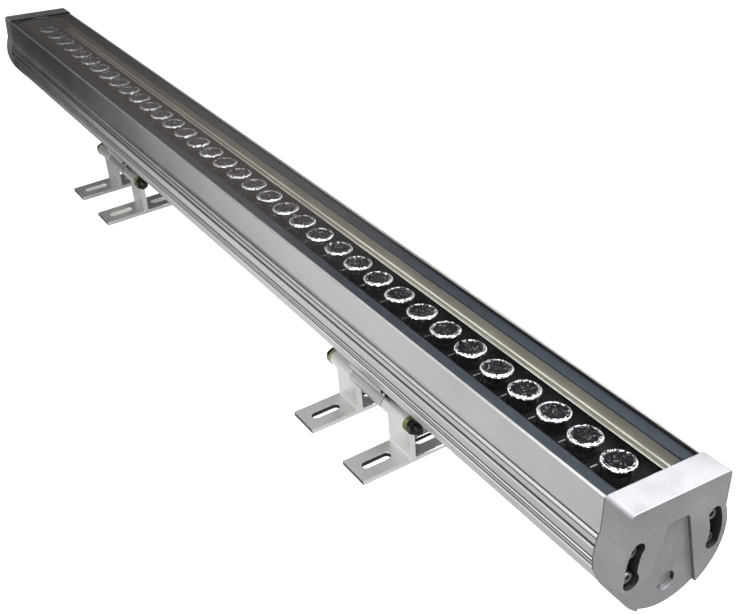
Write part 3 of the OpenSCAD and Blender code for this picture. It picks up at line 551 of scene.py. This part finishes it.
def refinish(finish, *nodes):
    """Gives CAD nodes that stay in view a finish in every material slot."""
    for thing in (frame["nodes"][node] for node in nodes):
        if not thing.data.materials:
            thing.data.materials.append(None)
        for slot in thing.material_slots:
            slot.link, slot.material = "OBJECT", FINISH[finish]


# ---- sizes and colours a user may change ----

class LampSizes(bpy.types.PropertyGroup):
    """Sizes of details that Blender adds to the CAD shapes."""

    edge_round: FloatProperty(
        name="Edge round", description="Radius of the broken edges of the extrusion",
        default=0.25 * MM, min=0.05 * MM, max=0.6 * MM, precision=5, unit="LENGTH")
    cast_round: FloatProperty(
        name="Casting round", description="Radius of the edges of the end caps",
        default=0.5 * MM, min=0.1 * MM, max=1 * MM, precision=5, unit="LENGTH")
    facets: IntProperty(
        name="Lens facets", description="Facets round the cone of a lens",
        default=28, min=12, max=48)


class LampColours(bpy.types.PropertyGroup):
    """Colours of the stage."""

    floor: FloatVectorProperty(
        name="Floor", description="Colour of the studio floor", subtype="COLOR", size=3,
        default=srgb("#bdbdbd"), min=0, max=1)


# ---- pieces ----

class LAMP_OT_finishes(bpy.types.Operator):
    """Makes every finish"""

    bl_idname = "lamp.finishes"
    bl_label = "Finishes"

    def execute(self, context):
        for kind, rows in ((DRAWN, SATIN), (EVEN, GRAINED)):
            for row in rows:
                skin(kind, *row)
        for make in (black_solder_mask, clear_glass, lens_bowl_acrylic, rim_painted_reflection):
            make()
        return {"FINISHED"}


# The housing's section, Y (either side) and Z: the edge of a rail that faces the board, the lip
# at the foot of a tray wall, the tray's inside (half width, floor, top), the inner edge of the
# rim beside the glass, and how far out its round sides begin
RAIL_EDGE, WALL_FOOT = (24.1, -21.2), (29.8, -22.4)
TRAY_Y, TRAY_FLOOR, TRAY_TOP = 31.0, -24.5, -7.0
RIM_Y, RIM_Z, SIDE_Y = 31.9, -2.3, 33.0
# How much rounder than the other edges the rails' edges are
RAIL_ROUND = 2.4


def near_spot(y, z, spot, across, up):
    """True within a distance across and up of a spot of the section, on either side."""
    return (abs(abs(y) - spot[0]) < across) & (abs(z - spot[1]) < up)


def lengthwise(normals):
    """True for faces that run along the lamp, unlike its ends."""
    return abs(normals[:, 0]) < 0.5


def in_tray(x, y, z, normals):
    """True for the faces of the tray under the glass."""
    return (abs(y) < TRAY_Y) & (z > TRAY_FLOOR) & (z < TRAY_TOP) & lengthwise(normals)


def on_rail(y, z):
    """True near the edge of a rail that faces the light board."""
    return near_spot(y, z, RAIL_EDGE, 0.3, 0.6)


def painted_tray_highlights(x, y, z, normals):
    """True where a highlight is painted on the drawn metal in the tray: the inner edges of the
    rails and the lips at the foot of the walls."""
    return (on_rail(y, z) | near_spot(y, z, WALL_FOOT, 0.8, 0.2)) & lengthwise(normals)


def on_rim(x, y, z, normals):
    """True for the tops of the housing's walls beside the glass."""
    return (z > RIM_Z) & (abs(y) > RIM_Y) & lengthwise(normals)


def on_rib(x, y, z, normals):
    """True for the tops of the ribs along the round sides, which get a painted highlight."""
    outside = np.hypot(y, z - ROUND_Z) > HOUSING_R + 0.12
    return outside & (abs(y) > SIDE_Y) & (z < ROUND_Z + 13)


def in_groove(x, y, z, normals):
    """True for the walls and floors of the grooves along the round sides, which get painted shade.
    """
    middles, widths = np.array(GROOVES).T
    near = np.abs(z[:, None] - (ROUND_Z + middles)) < widths / 2 + 0.15
    deep = np.hypot(y, z - ROUND_Z) < HOUSING_R - 0.1
    return near.any(1) & deep & (abs(y) > SIDE_Y) & lengthwise(normals)


class LAMP_OT_housing(bpy.types.Operator):
    """Builds the extruded housing with its rounded side lines"""

    bl_idname = "lamp.housing"
    bl_label = "Housing"

    def execute(self, context):
        edge = context.scene.lamp_sizes.edge_round / MM
        loops = [rounded(loop, np.where(on_rail(*loop.T), RAIL_ROUND * edge, edge))
                 for loop in section_loops("housing")]
        loops.sort(key=len, reverse=True)
        points, faces = extruded(loops, -HOUSING_END, HOUSING_END)
        housing = piece("housing_extrusion", lamp_points(points), faces, "anodised_extrusion",
                        LAMP, ("housing",), crease=35)
        # Painted highlights on the rails' edges, the tray's lips and the rib tops; painted shade
        # in the grooves
        for finish, chosen in (("etched_tray_skin", in_tray), ("burnished_line", painted_tray_highlights),
                               ("milled_rim", on_rim), ("burnished_rib", on_rib),
                               ("groove_skin", in_groove)):
            second_finish(housing, finish, chosen)
        return {"FINISHED"}


class LAMP_OT_glass(bpy.types.Operator):
    """Finishes the cover glass, its gasket strips and the sealant round it"""

    bl_idname = "lamp.glass"
    bl_label = "Cover glass"

    def execute(self, context):
        cover = softened_copy(
            "toughened_cover", "cover_glass", 0.15, "toughened_glass", LAMP)
        x, y, z = lamp_frame(read(cover.data.vertices, "co", 3)).T
        bedded = np.stack([x, y + BEDDING * np.sign(y), z - BEDDING * (z < z.mean())], 1)
        cover.data.vertices.foreach_set("co", lamp_points(bedded).ravel())
        cover.data.update()
        refinish("slate_foam_rubber", "glass_gasket_strips")
        refinish("black_silicone_sealant", "glass_sealant")
        return {"FINISHED"}


# A cap: distance of its foot and of the floor of its hollows from the lamp's middle, radius that
# all hollows stay inside, how far out its slots begin, the middle of its recess and a little more
# than the recess's radius, and depth of the screws' seat in the slots
CAP_FOOT, HOLLOW_FLOOR, HOLLOW_R, SLOT_Y = 482.0, 489.0, 35.0, 20.0
RECESS_Z, RECESS_R, SCREW_SEAT = -59.5, 6.4, 8.0


def cap_wall(x, y, z, normals):
    """True for the walls of the slots, recess and pocket of a cap, behind its outer face."""
    inside = np.hypot(y, z - ROUND_Z) < HOLLOW_R
    return lengthwise(normals) & inside & (abs(x) > HOLLOW_FLOOR) & (abs(x) < LAMP_HALF)


def in_recess(y, z):
    """True inside the round recess at the foot of a cap."""
    return np.hypot(y, z - RECESS_Z) < RECESS_R


def gets_painted_cap_shade(x, y, z, normals):
    """True for the faces of a cap that get painted shade: the walls of its slots, those of its
    recess that do not look up, and the side of the cap that lies against the housing."""
    dark = (abs(y) > SLOT_Y) | in_recess(y, z) & (normals[:, 2] < 0.4)
    inner_side = (abs(normals[:, 0]) > 0.9) & (abs(x) < CAP_FOOT)
    return cap_wall(x, y, z, normals) & dark | inner_side


def pocket_wall(x, y, z, normals):
    """True for the walls of the flared pocket in the middle of a cap."""
    return cap_wall(x, y, z, normals) & (abs(y) < SLOT_Y) & ~in_recess(y, z)


class LAMP_OT_end_caps(bpy.types.Operator):
    """Builds both end caps with rounded casting edges, and their gaskets"""

    bl_idname = "lamp.end_caps"
    bl_label = "End caps"

    def execute(self, context):
        edge = context.scene.lamp_sizes.cast_round / MM
        for side in ("near", "far"):
            cap = softened_copy(f"{side}_cap_casting", f"{side}_end_cap", edge,
                                "blasted_die_casting", LAMP)
            # Painted shade on the slot walls, the recess walls that do not look up, the inner side
            # and the pocket walls
            second_finish(cap, "cast_skin", gets_painted_cap_shade)
            second_finish(cap, "groove_skin", pocket_wall)
        refinish("grey_silicone_sheet", "near_end_gasket", "far_end_gasket")
        refinish("black_moulded_rubber", "cable_inlet")
        return {"FINISHED"}


def socket_screw():
    """A socket head screw on a spring washer, about the vertical: shank, washer, knurled head with
    a broken edge, and a hex socket with a drilled bottom, as one profile whose radius follows a
    hexagon inside the socket and a wave of 24 flutes on the head's side."""
    seat, top, socket_floor, flutes = 1.2, 5.2, 2.9, 24
    profile = [(1.2, -26), (1.75, -25.4), (1.95, -24.6), (1.95, 0.0), (3.45, 0.0), (3.6, 0.15),
               (3.6, 1.0), (3.4, seat - 0.05), (3.1, seat), (3.45, seat + 0.15),
               (3.5, seat + 0.3), (3.5, top - 0.6), (3.35, top - 0.15), (3.15, top), (1.85, top),
               (1.6, top - 0.25), (1.6, socket_floor), (0.3, 2.2)]
    flats = hexagon(3.0)

    def rule(radius, height, angle):
        side = (height > seat + 0.2) & (height < top - 0.5) & (radius > 3.4)
        knurl = 0.09 * np.cos(flutes * angle) * side
        socket = (height < top - 0.2) & (height >= socket_floor)
        inside = socket & (radius < 1.7) & (radius > 1.5)
        return np.where(inside, flats(angle), radius + knurl)

    return turned(profile, 96, rule)


class LAMP_OT_cap_screws(bpy.types.Operator):
    """Builds the four socket head screws of each end cap"""

    bl_idname = "lamp.cap_screws"
    bl_label = "Cap screws"

    def execute(self, context):
        points, faces = socket_screw()
        for name, end in (("near", 1), ("far", -1)):
            lying = along_x(points) * (end, 1, 1)
            seat = end * (LAMP_HALF - SCREW_SEAT)
            places = [(seat, side * y, z) for side in (-1, 1) for y, z in SCREWS]
            many, more = tile(lying, faces, places)
            piece(f"{name}_socket_screws", lamp_points(many), more, "worn_screw_steel", LAMP,
                  (f"{name}_cap_screws",), crease=35)
        return {"FINISHED"}


# Over the foot of a lens: where its rim begins and where the crest of its lip begins, and the
# radii of that crest
RIM_FOOT, LIP_FOOT, LIP_INNER, LIP_OUTER = 8.55, 9.2, 9.42, 9.8


def lens_rim(facets):
    """The bevelled rim of a lens about the vertical, a closed ring profile. Facet k of the inner
    edge reaches in by its own random amount, which gives the edge its broken outline."""
    profile = [(9.5, 8.6), (10.1, 8.8), (10.1, 9.0), (9.75, 9.65), (9.45, 9.95), (9.4, 9.6),
               (9.1, 9.6), (9.05, 10.15), (8.75, 10.35), (8.2, 10.4), (7.9, 10.25), (7.75, 9.7),
               (7.75, 9.3)]
    reach = np.random.default_rng(7).uniform(-0.35, 0.25, facets)

    def rule(radius, height, angle):
        turn = angle * facets / (2 * math.pi)
        own = reach[np.floor(turn).astype(int) % facets]
        inner = np.clip((8.9 - radius) / 0.9, 0, 1)
        chamfer = 0.12 * (1 - 4 * (turn % 1 - 0.5) ** 2) * (radius > 9.2) * (radius < 10)
        return radius + own * inner - chamfer

    return turned(profile, facets * 4, rule, closed=True)


def lens_bowl(facets):
    """The body of a lens about the vertical: a hollow foot, a cone with flat facets and a dished
    top. The cone's radius at angle a is that of a polygon with bowed sides."""
    profile = [(3.75, 3.0), (3.75, 0.0), (5.4, 0.0), (5.6, 0.15), (7.85, 4.6), (9.9, 8.6),
               (9.5, 9.0), (8.3, 9.75), (7.0, 9.65), (5.2, 9.5), (3.4, 9.4), (1.6, 9.35),
               (0.5, 9.34)]

    def rule(radius, height, angle):
        cone = (height > 0.1) & (height < 8.7) & (radius > 5.5)
        flat = (angle * facets / (2 * math.pi)) % 1 - 0.5
        return np.where(cone, radius * (1 - 0.02 * (1 - 4 * flat ** 2)), radius)

    return turned(profile, facets * 2, rule)


def below_rim(x, y, z, normals):
    """True for the foot and cone of a lens, which get the holder's black as painted shade."""
    return z < LENS_Z + RIM_FOOT


def on_lip(x, y, z, normals):
    """True for the crest of the lip round a lens, which gets a painted highlight, by the distance
    from the nearest lens's axis.
    """
    own = (x - FIRST_LENS + PITCH / 2) % PITCH - PITCH / 2
    away = np.hypot(own, y)
    return (away > LIP_INNER) & (away < LIP_OUTER) & (z > LENS_Z + LIP_FOOT)


class LAMP_OT_lenses(bpy.types.Operator):
    """Builds the row of moulded lenses: their bowls and their bright rims"""

    bl_idname = "lamp.lenses"
    bl_label = "Lenses"

    def execute(self, context):
        facets = context.scene.lamp_sizes.facets
        places = [(FIRST_LENS + PITCH * k, 0, LENS_Z) for k in range(LENS_COUNT)]
        turns = np.random.default_rng(3).uniform(0, 2 * math.pi, LENS_COUNT)
        for name, shape, finish in (("lens_bowls", lens_bowl, "lens_bowl_acrylic"),
                                    ("lens_rims", lens_rim, "lens_rim_painted_reflection")):
            many, more = tile(*shape(facets), places, turns)
            row = piece(name, lamp_points(many), more, finish, LAMP, ("lenses",),
                        crease=25)
            # Painted shade on the foot and cone of each lens, a painted highlight on the crest of
            # its lip
            second_finish(row, "black_moulded_plastic", below_rim)
        second_finish(row, "frosted_lens_lip", on_lip)
        return {"FINISHED"}


class LAMP_OT_light_board(bpy.types.Operator):
    """Finishes the board, emitters and holders, and adds the pale marks between the lenses"""

    bl_idname = "lamp.light_board"
    bl_label = "Light board"

    def execute(self, context):
        for finish, node in (
                ("black_solder_mask", "led_board"), ("grey_thermal_pad", "thermal_pad"),
                ("phosphor_silicone", "led_emitters"), ("black_moulded_plastic", "lens_holders"),
                ("red_lead_insulation", "board_leads"), ("black_moulded_rubber", "lead_grommet")):
            refinish(finish, node)
        # A mark: half its width, its two ends across the board, its corners and its thickness
        half, low, high, corner, thick = 0.25, -7.0, -2.0, 0.3, 0.06
        outline = np.array([(-half, low), (half, low), (half, high), (-half, high)])
        outline = rounded(outline, corner)
        count = len(outline)
        ring = np.column_stack([outline, np.zeros(count)])
        points = np.concatenate([ring, ring + (0, 0, thick)])
        places = [(FIRST_LENS + PITCH * (k + 0.5), 0, BOARD_TOP) for k in range(LENS_COUNT - 1)]
        many, more = tile(points, tube_faces(2, count), places)
        piece("board_marks", lamp_points(many), more, "white_marking_ink", LAMP)
        return {"FINISHED"}


class LAMP_OT_driver(bpy.types.Operator):
    """Finishes the driver, its plate and its screws"""

    bl_idname = "lamp.driver"
    bl_label = "Driver"

    def execute(self, context):
        refinish("bright_extrusion", "driver_plate")
        refinish("white_moulded_plastic", "led_driver")
        refinish("yellow_zinc_plate", "driver_screws")
        return {"FINISHED"}


# Thickness of a foot's plate, and how far a knuckle reaches from the hinge axis
FOOT_PLATE, KNUCKLE_R = 4.0, 6.0


def sawn(x, y, z, normals):
    """True for the upright faces of a foot's plate, which were sawn."""
    return (z < FOOT_PLATE) & (abs(normals[:, 2]) < 0.3)


def punched(x, y, z, normals):
    """True for the walls of a foot's slots: sawn faces 2 mm inside the plate's outline."""
    margin = np.minimum.reduce([x - x.min(), x.max() - x, y - y.min(), y.max() - y])
    return sawn(x, y, z, normals) & (margin > 2)


def knuckle_end(x, y, z, normals):
    """True for the flat ends of the knuckles, which get painted shade."""
    return (np.hypot(y - PIVOT[0], z - PIVOT[1]) < KNUCKLE_R) & (abs(normals[:, 0]) > 0.9)


class LAMP_OT_brackets(bpy.types.Operator):
    """Builds the clamps under the housing and the four feet with broken edges"""

    bl_idname = "lamp.brackets"
    bl_label = "Brackets"

    def execute(self, context):
        # Slot walls get painted shade at the near bracket and a painted highlight at the far one;
        # knuckle ends get painted shade
        for side, slot_wall_light in (("near", "cast_skin"), ("far", "burnished_line")):
            clamp = softened_copy(f"{side}_hinge_clamp", f"{side}_clamp", 0.15,
                                  "anodised_extrusion", LAMP)
            second_finish(clamp, "cast_skin", knuckle_end)
            refinish("yellow_zinc_plate", f"{side}_clamp_screws", f"{side}_clamp_nuts")
            for place in ("outer", "inner"):
                foot = softened_copy(f"{side}_{place}_bracket_foot", f"{side}_{place}_foot", 0.35,
                                     "bright_extrusion", FEET)
                second_finish(foot, "sawn_aluminium", sawn, world_mm)
                second_finish(foot, "cast_skin", knuckle_end)
                second_finish(foot, slot_wall_light, punched, world_mm)
        return {"FINISHED"}


def bevelled_hex(flats, low, high, bore=None):
    """A hexagon prism about the vertical between two heights, cut by a 30 degree cone at its top,
    and at both ends when it has a bore: the radius is the smaller of the hexagon's and the
    cone's."""
    edge, corner, depth = 0.93 * flats / 2, flats / 2 / math.cos(math.pi / 6), 0.5
    cone = [(edge, 0), (corner - 0.35, depth / 2), (corner, depth), (corner, 2 * depth)]
    base = [(r, low + h) for r, h in cone] if bore else [(corner, low)]
    outer = base + [(r, high - h) for r, h in cone[::-1]]
    to_flat = hexagon(flats)

    def rule(radius, height, angle):
        return np.where(radius > flats / 4, np.minimum(radius, to_flat(angle)), radius)

    if not bore:
        return turned(outer + [(0.8, high)], 72, rule)
    ring = [(bore, low + 0.4), (bore + 0.4, low), *outer, (bore + 0.4, high), (bore, high - 0.4)]
    return turned(ring, 72, rule, closed=True)


def threaded_rod(radius, pitch, low, high, plain_to):
    """A rod about the vertical, plain up to a height and threaded past it: the radius falls by
    a triangle wave of height / pitch minus angle / turn."""
    step = pitch / 6
    rows = np.concatenate([[low, plain_to], np.arange(plain_to + step, high - 0.3, step), [high]])
    profile = [(radius, h) for h in rows]
    profile[-1] = (radius - 0.7, high)
    depth = 0.5 * pitch

    def rule(r, height, angle):
        wave = np.abs(((height / pitch - angle / (2 * math.pi)) % 1) * 2 - 1)
        fade = np.clip((height - plain_to) / pitch, 0, 1)
        return r - depth * wave * fade * (r > radius - 0.1)

    return turned(profile, 48, rule)


class LAMP_OT_hinge_fixings(bpy.types.Operator):
    """Builds the hinge bolts, nuts and washers"""

    bl_idname = "lamp.hinge_fixings"
    bl_label = "Hinge fixings"

    def execute(self, context):
        flats, head_height, rod_radius, pitch = 10.0, 4.0, 3.0, 1.0
        # One washer under the head and two under the nut, rod past the bracket, thread inside it
        washer, washers, past, thread = 1.6, 3.2, 12.7, 12.0
        for side, centre in (("near", BRACKET_X), ("far", -BRACKET_X)):
            low, high = centre - BRACKET_W / 2, centre + BRACKET_W / 2
            head, head_faces = bevelled_hex(flats, 0, head_height)
            head = along_x(head) * (-1, 1, 1) + (low - washer, 0, 0)
            rod, rod_faces = threaded_rod(
                rod_radius, pitch, low - washer - 0.8, high + past, high - thread)
            points = np.concatenate([head, along_x(rod)])
            piece(f"{side}_hex_bolt", hinge_points(points),
                  head_faces + shifted(rod_faces, len(head)), "blackened_steel", FEET,
                  (f"{side}_hinge_bolt",))
            nut, nut_faces = bevelled_hex(flats, washers, washers + 5, bore=rod_radius + 0.05)
            piece(f"{side}_hex_nut", hinge_points(along_x(nut) + (high, 0, 0)), nut_faces,
                  "blackened_steel", FEET, (f"{side}_hinge_nut",))
        refinish("yellow_zinc_plate", "near_hinge_washers", "far_hinge_washers")
        return {"FINISHED"}


# ---- stage ----

def straight_rays(tree):
    """1 for rays from the camera, also once they have passed glass, and 0 after they have been
    scattered: the larger of camera ray and transmission ray, less the scattered depths."""
    path = add_node(tree, "LightPath").outputs
    seen = add_node(tree, "Math", {
        0: path["Is Camera Ray"], 1: path["Is Transmission Ray"]}, operation="MAXIMUM")
    bounces = add_node(tree, "Math", {
        0: path["Diffuse Depth"], 1: path["Glossy Depth"]}, operation="ADD")
    left = add_node(tree, "Math", {0: seen, 1: bounces}, operation="SUBTRACT", use_clamp=True)
    return left, path["Is Glossy Ray"]


class LAMP_OT_stage(bpy.types.Operator):
    """Builds the floor, the lights and the camera"""

    bl_idname = "lamp.stage"
    bl_label = "Stage"

    def execute(self, context):
        scene = context.scene
        scene.view_settings.view_transform = "Standard"
        self.floor(scene)
        self.world(scene)
        self.lights(scene)
        self.camera(scene)
        return {"FINISHED"}

    def floor(self, scene):
        """A pale paper floor that the camera sees as white away from the object's shadow. Metal
        sees it as white too, fading out to the left of the stage, and darker in the shadow
        under the far half of the lamp."""
        mesh = bpy.data.meshes.new("studio_floor")
        corners = [(x, y, 0) for x, y in ((-6, -6), (6, -6), (6, 6), (-6, 6))]
        mesh.from_pydata(corners, [], [(0, 1, 2, 3)])
        floor = bpy.data.objects.new("studio_floor", mesh)
        scene.collection.objects.link(floor)
        tree, shader = blank_finish("studio_paper", {
            "Base Color": (*scene.lamp_colours.floor, 1), "Roughness": 0.9})
        seen, mirrored = straight_rays(tree)
        glow = add_node(tree, "Emission", {"Strength": 0.9})
        lit = add_node(tree, "AddShader", {0: shader, 1: glow})
        paper = add_node(tree, "MixShader", {0: seen, 1: shader, 2: lit})
        place = add_node(tree, "TexCoord").outputs["Object"]
        axes = add_node(tree, "SeparateXYZ", {0: place}).outputs
        # What metal sees of the floor by X, from the start to the end of the fade
        start, end, first, last = -0.85, 0.35, 0.008, 0.74
        levels = ((-0.72, 0.03), (-0.6, 0.17), (-0.5, 0.36), (-0.38, 0.59), (-0.25, 0.79),
                  (-0.12, 0.93), (0.02, 0.92), (0.2, 0.81))
        along = add_node(tree, "MapRange", {
            "Value": axes["X"], "From Min": start, "From Max": end})
        fade = add_node(tree, "FloatCurve", {"Value": along})
        curve = fade.mapping.curves[0]
        curve.points[0].location, curve.points[1].location = (0, first), (1, last)
        for x, level in levels:
            curve.points.new((x - start) / (end - start), level)
        fade.mapping.update()
        # The lamp's shadow: 0.4 of that level within 35 mm of the lamp's line, all of it from
        # 75 mm on, and none of the shadow under the near half
        across = add_node(tree, "Math", {0: axes["Y"]}, operation="ABSOLUTE")
        beside = add_node(tree, "MapRange", {
            "Value": across, "From Min": 0.035, "From Max": 0.075, "To Min": 0.4})
        shadow = add_node(tree, "MapRange", {
            "Value": axes["X"], "From Min": -0.35, "From Max": 0.1, "To Min": beside},
            interpolation_type="SMOOTHSTEP")
        shaded = add_node(tree, "Math", {0: fade, 1: shadow}, operation="MULTIPLY")
        pool = add_node(tree, "Emission", {"Strength": shaded})
        both = add_node(tree, "MixShader", {0: mirrored, 1: paper, 2: pool})
        fill(tree, tree.nodes["Material Output"], {"Surface": both})
        mesh.materials.append(FINISH["studio_paper"])

    def world(self, scene):
        """White for the camera. For the light it is a large soft source behind the camera: its
        strength rises with the cosine between a direction and the middle of that source."""
        world = bpy.data.worlds.new("studio")
        scene.world = world
        world.use_nodes = True
        tree = world.node_tree
        back = tree.nodes["Background"]
        place = add_node(tree, "TexCoord").outputs["Generated"]
        middle = (0.36, -0.8, 0.45)
        near = add_node(tree, "VectorMath", {0: place, 1: middle}, operation="DOT_PRODUCT")
        soft = add_node(tree, "MapRange", {
            "Value": near.outputs["Value"], "From Min": 0.0, "From Max": 0.75, "To Min": 0.012,
            "To Max": 1.25}, interpolation_type="SMOOTHSTEP")
        # A faint haze low on the far side, which the far half of the lamp mirrors
        axes = add_node(tree, "SeparateXYZ", {0: place}).outputs
        haze = add_node(tree, "MapRange", {
            "Value": axes["X"], "From Min": -0.6, "From Max": -0.95, "To Max": 0.1})
        both = add_node(tree, "Math", {0: soft, 1: haze}, operation="MAXIMUM")
        seen, _ = straight_rays(tree)
        level = add_node(tree, "Mix", {"Factor": seen, "A": both, "B": 1.0})
        fill(tree, back, {"Strength": level, "Color": (1, 1, 1, 1)})

    def lights(self, scene):
        """Soft boxes: one high over the near half, one in front on the right."""
        for name, place, aim, power in (
                ("key_box", (0.6, 0.45, 1.2), (0.55, 0, 0), 11),
                ("front_box", (0.6, -0.55, 1.25), (0.45, 0, 0.05), 3.2)):
            lamp = bpy.data.lights.new(name, "AREA")
            lamp.shape, lamp.size, lamp.size_y, lamp.energy = "RECTANGLE", 0.8, 0.6, power
            lamp.spread = math.radians(70)
            thing = bpy.data.objects.new(name, lamp)
            thing.location = place
            thing.rotation_mode = "QUATERNION"
            thing.rotation_quaternion = (Vector(aim) - Vector(place)).to_track_quat("-Z", "Y")
            scene.collection.objects.link(thing)

    def camera(self, scene):
        """The place, direction and lens that were fitted to the photograph."""
        data = bpy.data.cameras.new("camera")
        data.sensor_width, data.lens = 36, 56.003
        data.clip_start, data.clip_end = 0.05, 50
        camera = bpy.data.objects.new("camera", data)
        right = Vector((0.531134, 0.844625, -0.067120))
        down = Vector((0.423241, -0.333107, -0.842559))
        ahead = Vector((-0.734005, 0.419104, -0.534405))
        turn = Matrix((right, -down, -ahead)).transposed()
        camera.matrix_world = Matrix.Translation((0.792125, -0.323467, 0.507879)) @ turn.to_4x4()
        scene.collection.objects.link(camera)
        scene.camera = camera


class LAMP_PT_panel(bpy.types.Panel):
    """Lists the lamp's builders and settings"""

    bl_idname = "LAMP_PT_panel"
    bl_label = "Wall washer lamp"
    bl_space_type = "VIEW_3D"
    bl_region_type = "UI"
    bl_category = "Lamp"

    def draw(self, context):
        for group in (context.scene.lamp_sizes, context.scene.lamp_colours):
            for key in group.__annotations__:
                self.layout.prop(group, key)
        for builder in BUILDERS:
            self.layout.operator(builder.bl_idname)


BUILDERS = (LAMP_OT_finishes, LAMP_OT_housing, LAMP_OT_glass, LAMP_OT_end_caps, LAMP_OT_cap_screws,
            LAMP_OT_lenses, LAMP_OT_light_board, LAMP_OT_driver, LAMP_OT_brackets,
            LAMP_OT_hinge_fixings, LAMP_OT_stage)
CLASSES = (LampSizes, LampColours, *BUILDERS, LAMP_PT_panel)


def register():
    for item in CLASSES:
        bpy.utils.register_class(item)
    bpy.types.Scene.lamp_sizes = PointerProperty(type=LampSizes)
    bpy.types.Scene.lamp_colours = PointerProperty(type=LampColours)


def unregister():
    del bpy.types.Scene.lamp_colours
    del bpy.types.Scene.lamp_sizes
    for item in reversed(CLASSES):
        bpy.utils.unregister_class(item)


def main():
    """Registers the add-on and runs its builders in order."""
    register()
    for builder in BUILDERS:
        group, name = builder.bl_idname.split(".")
        getattr(getattr(bpy.ops, group), name)()


if __name__ == "__main__":
    main()
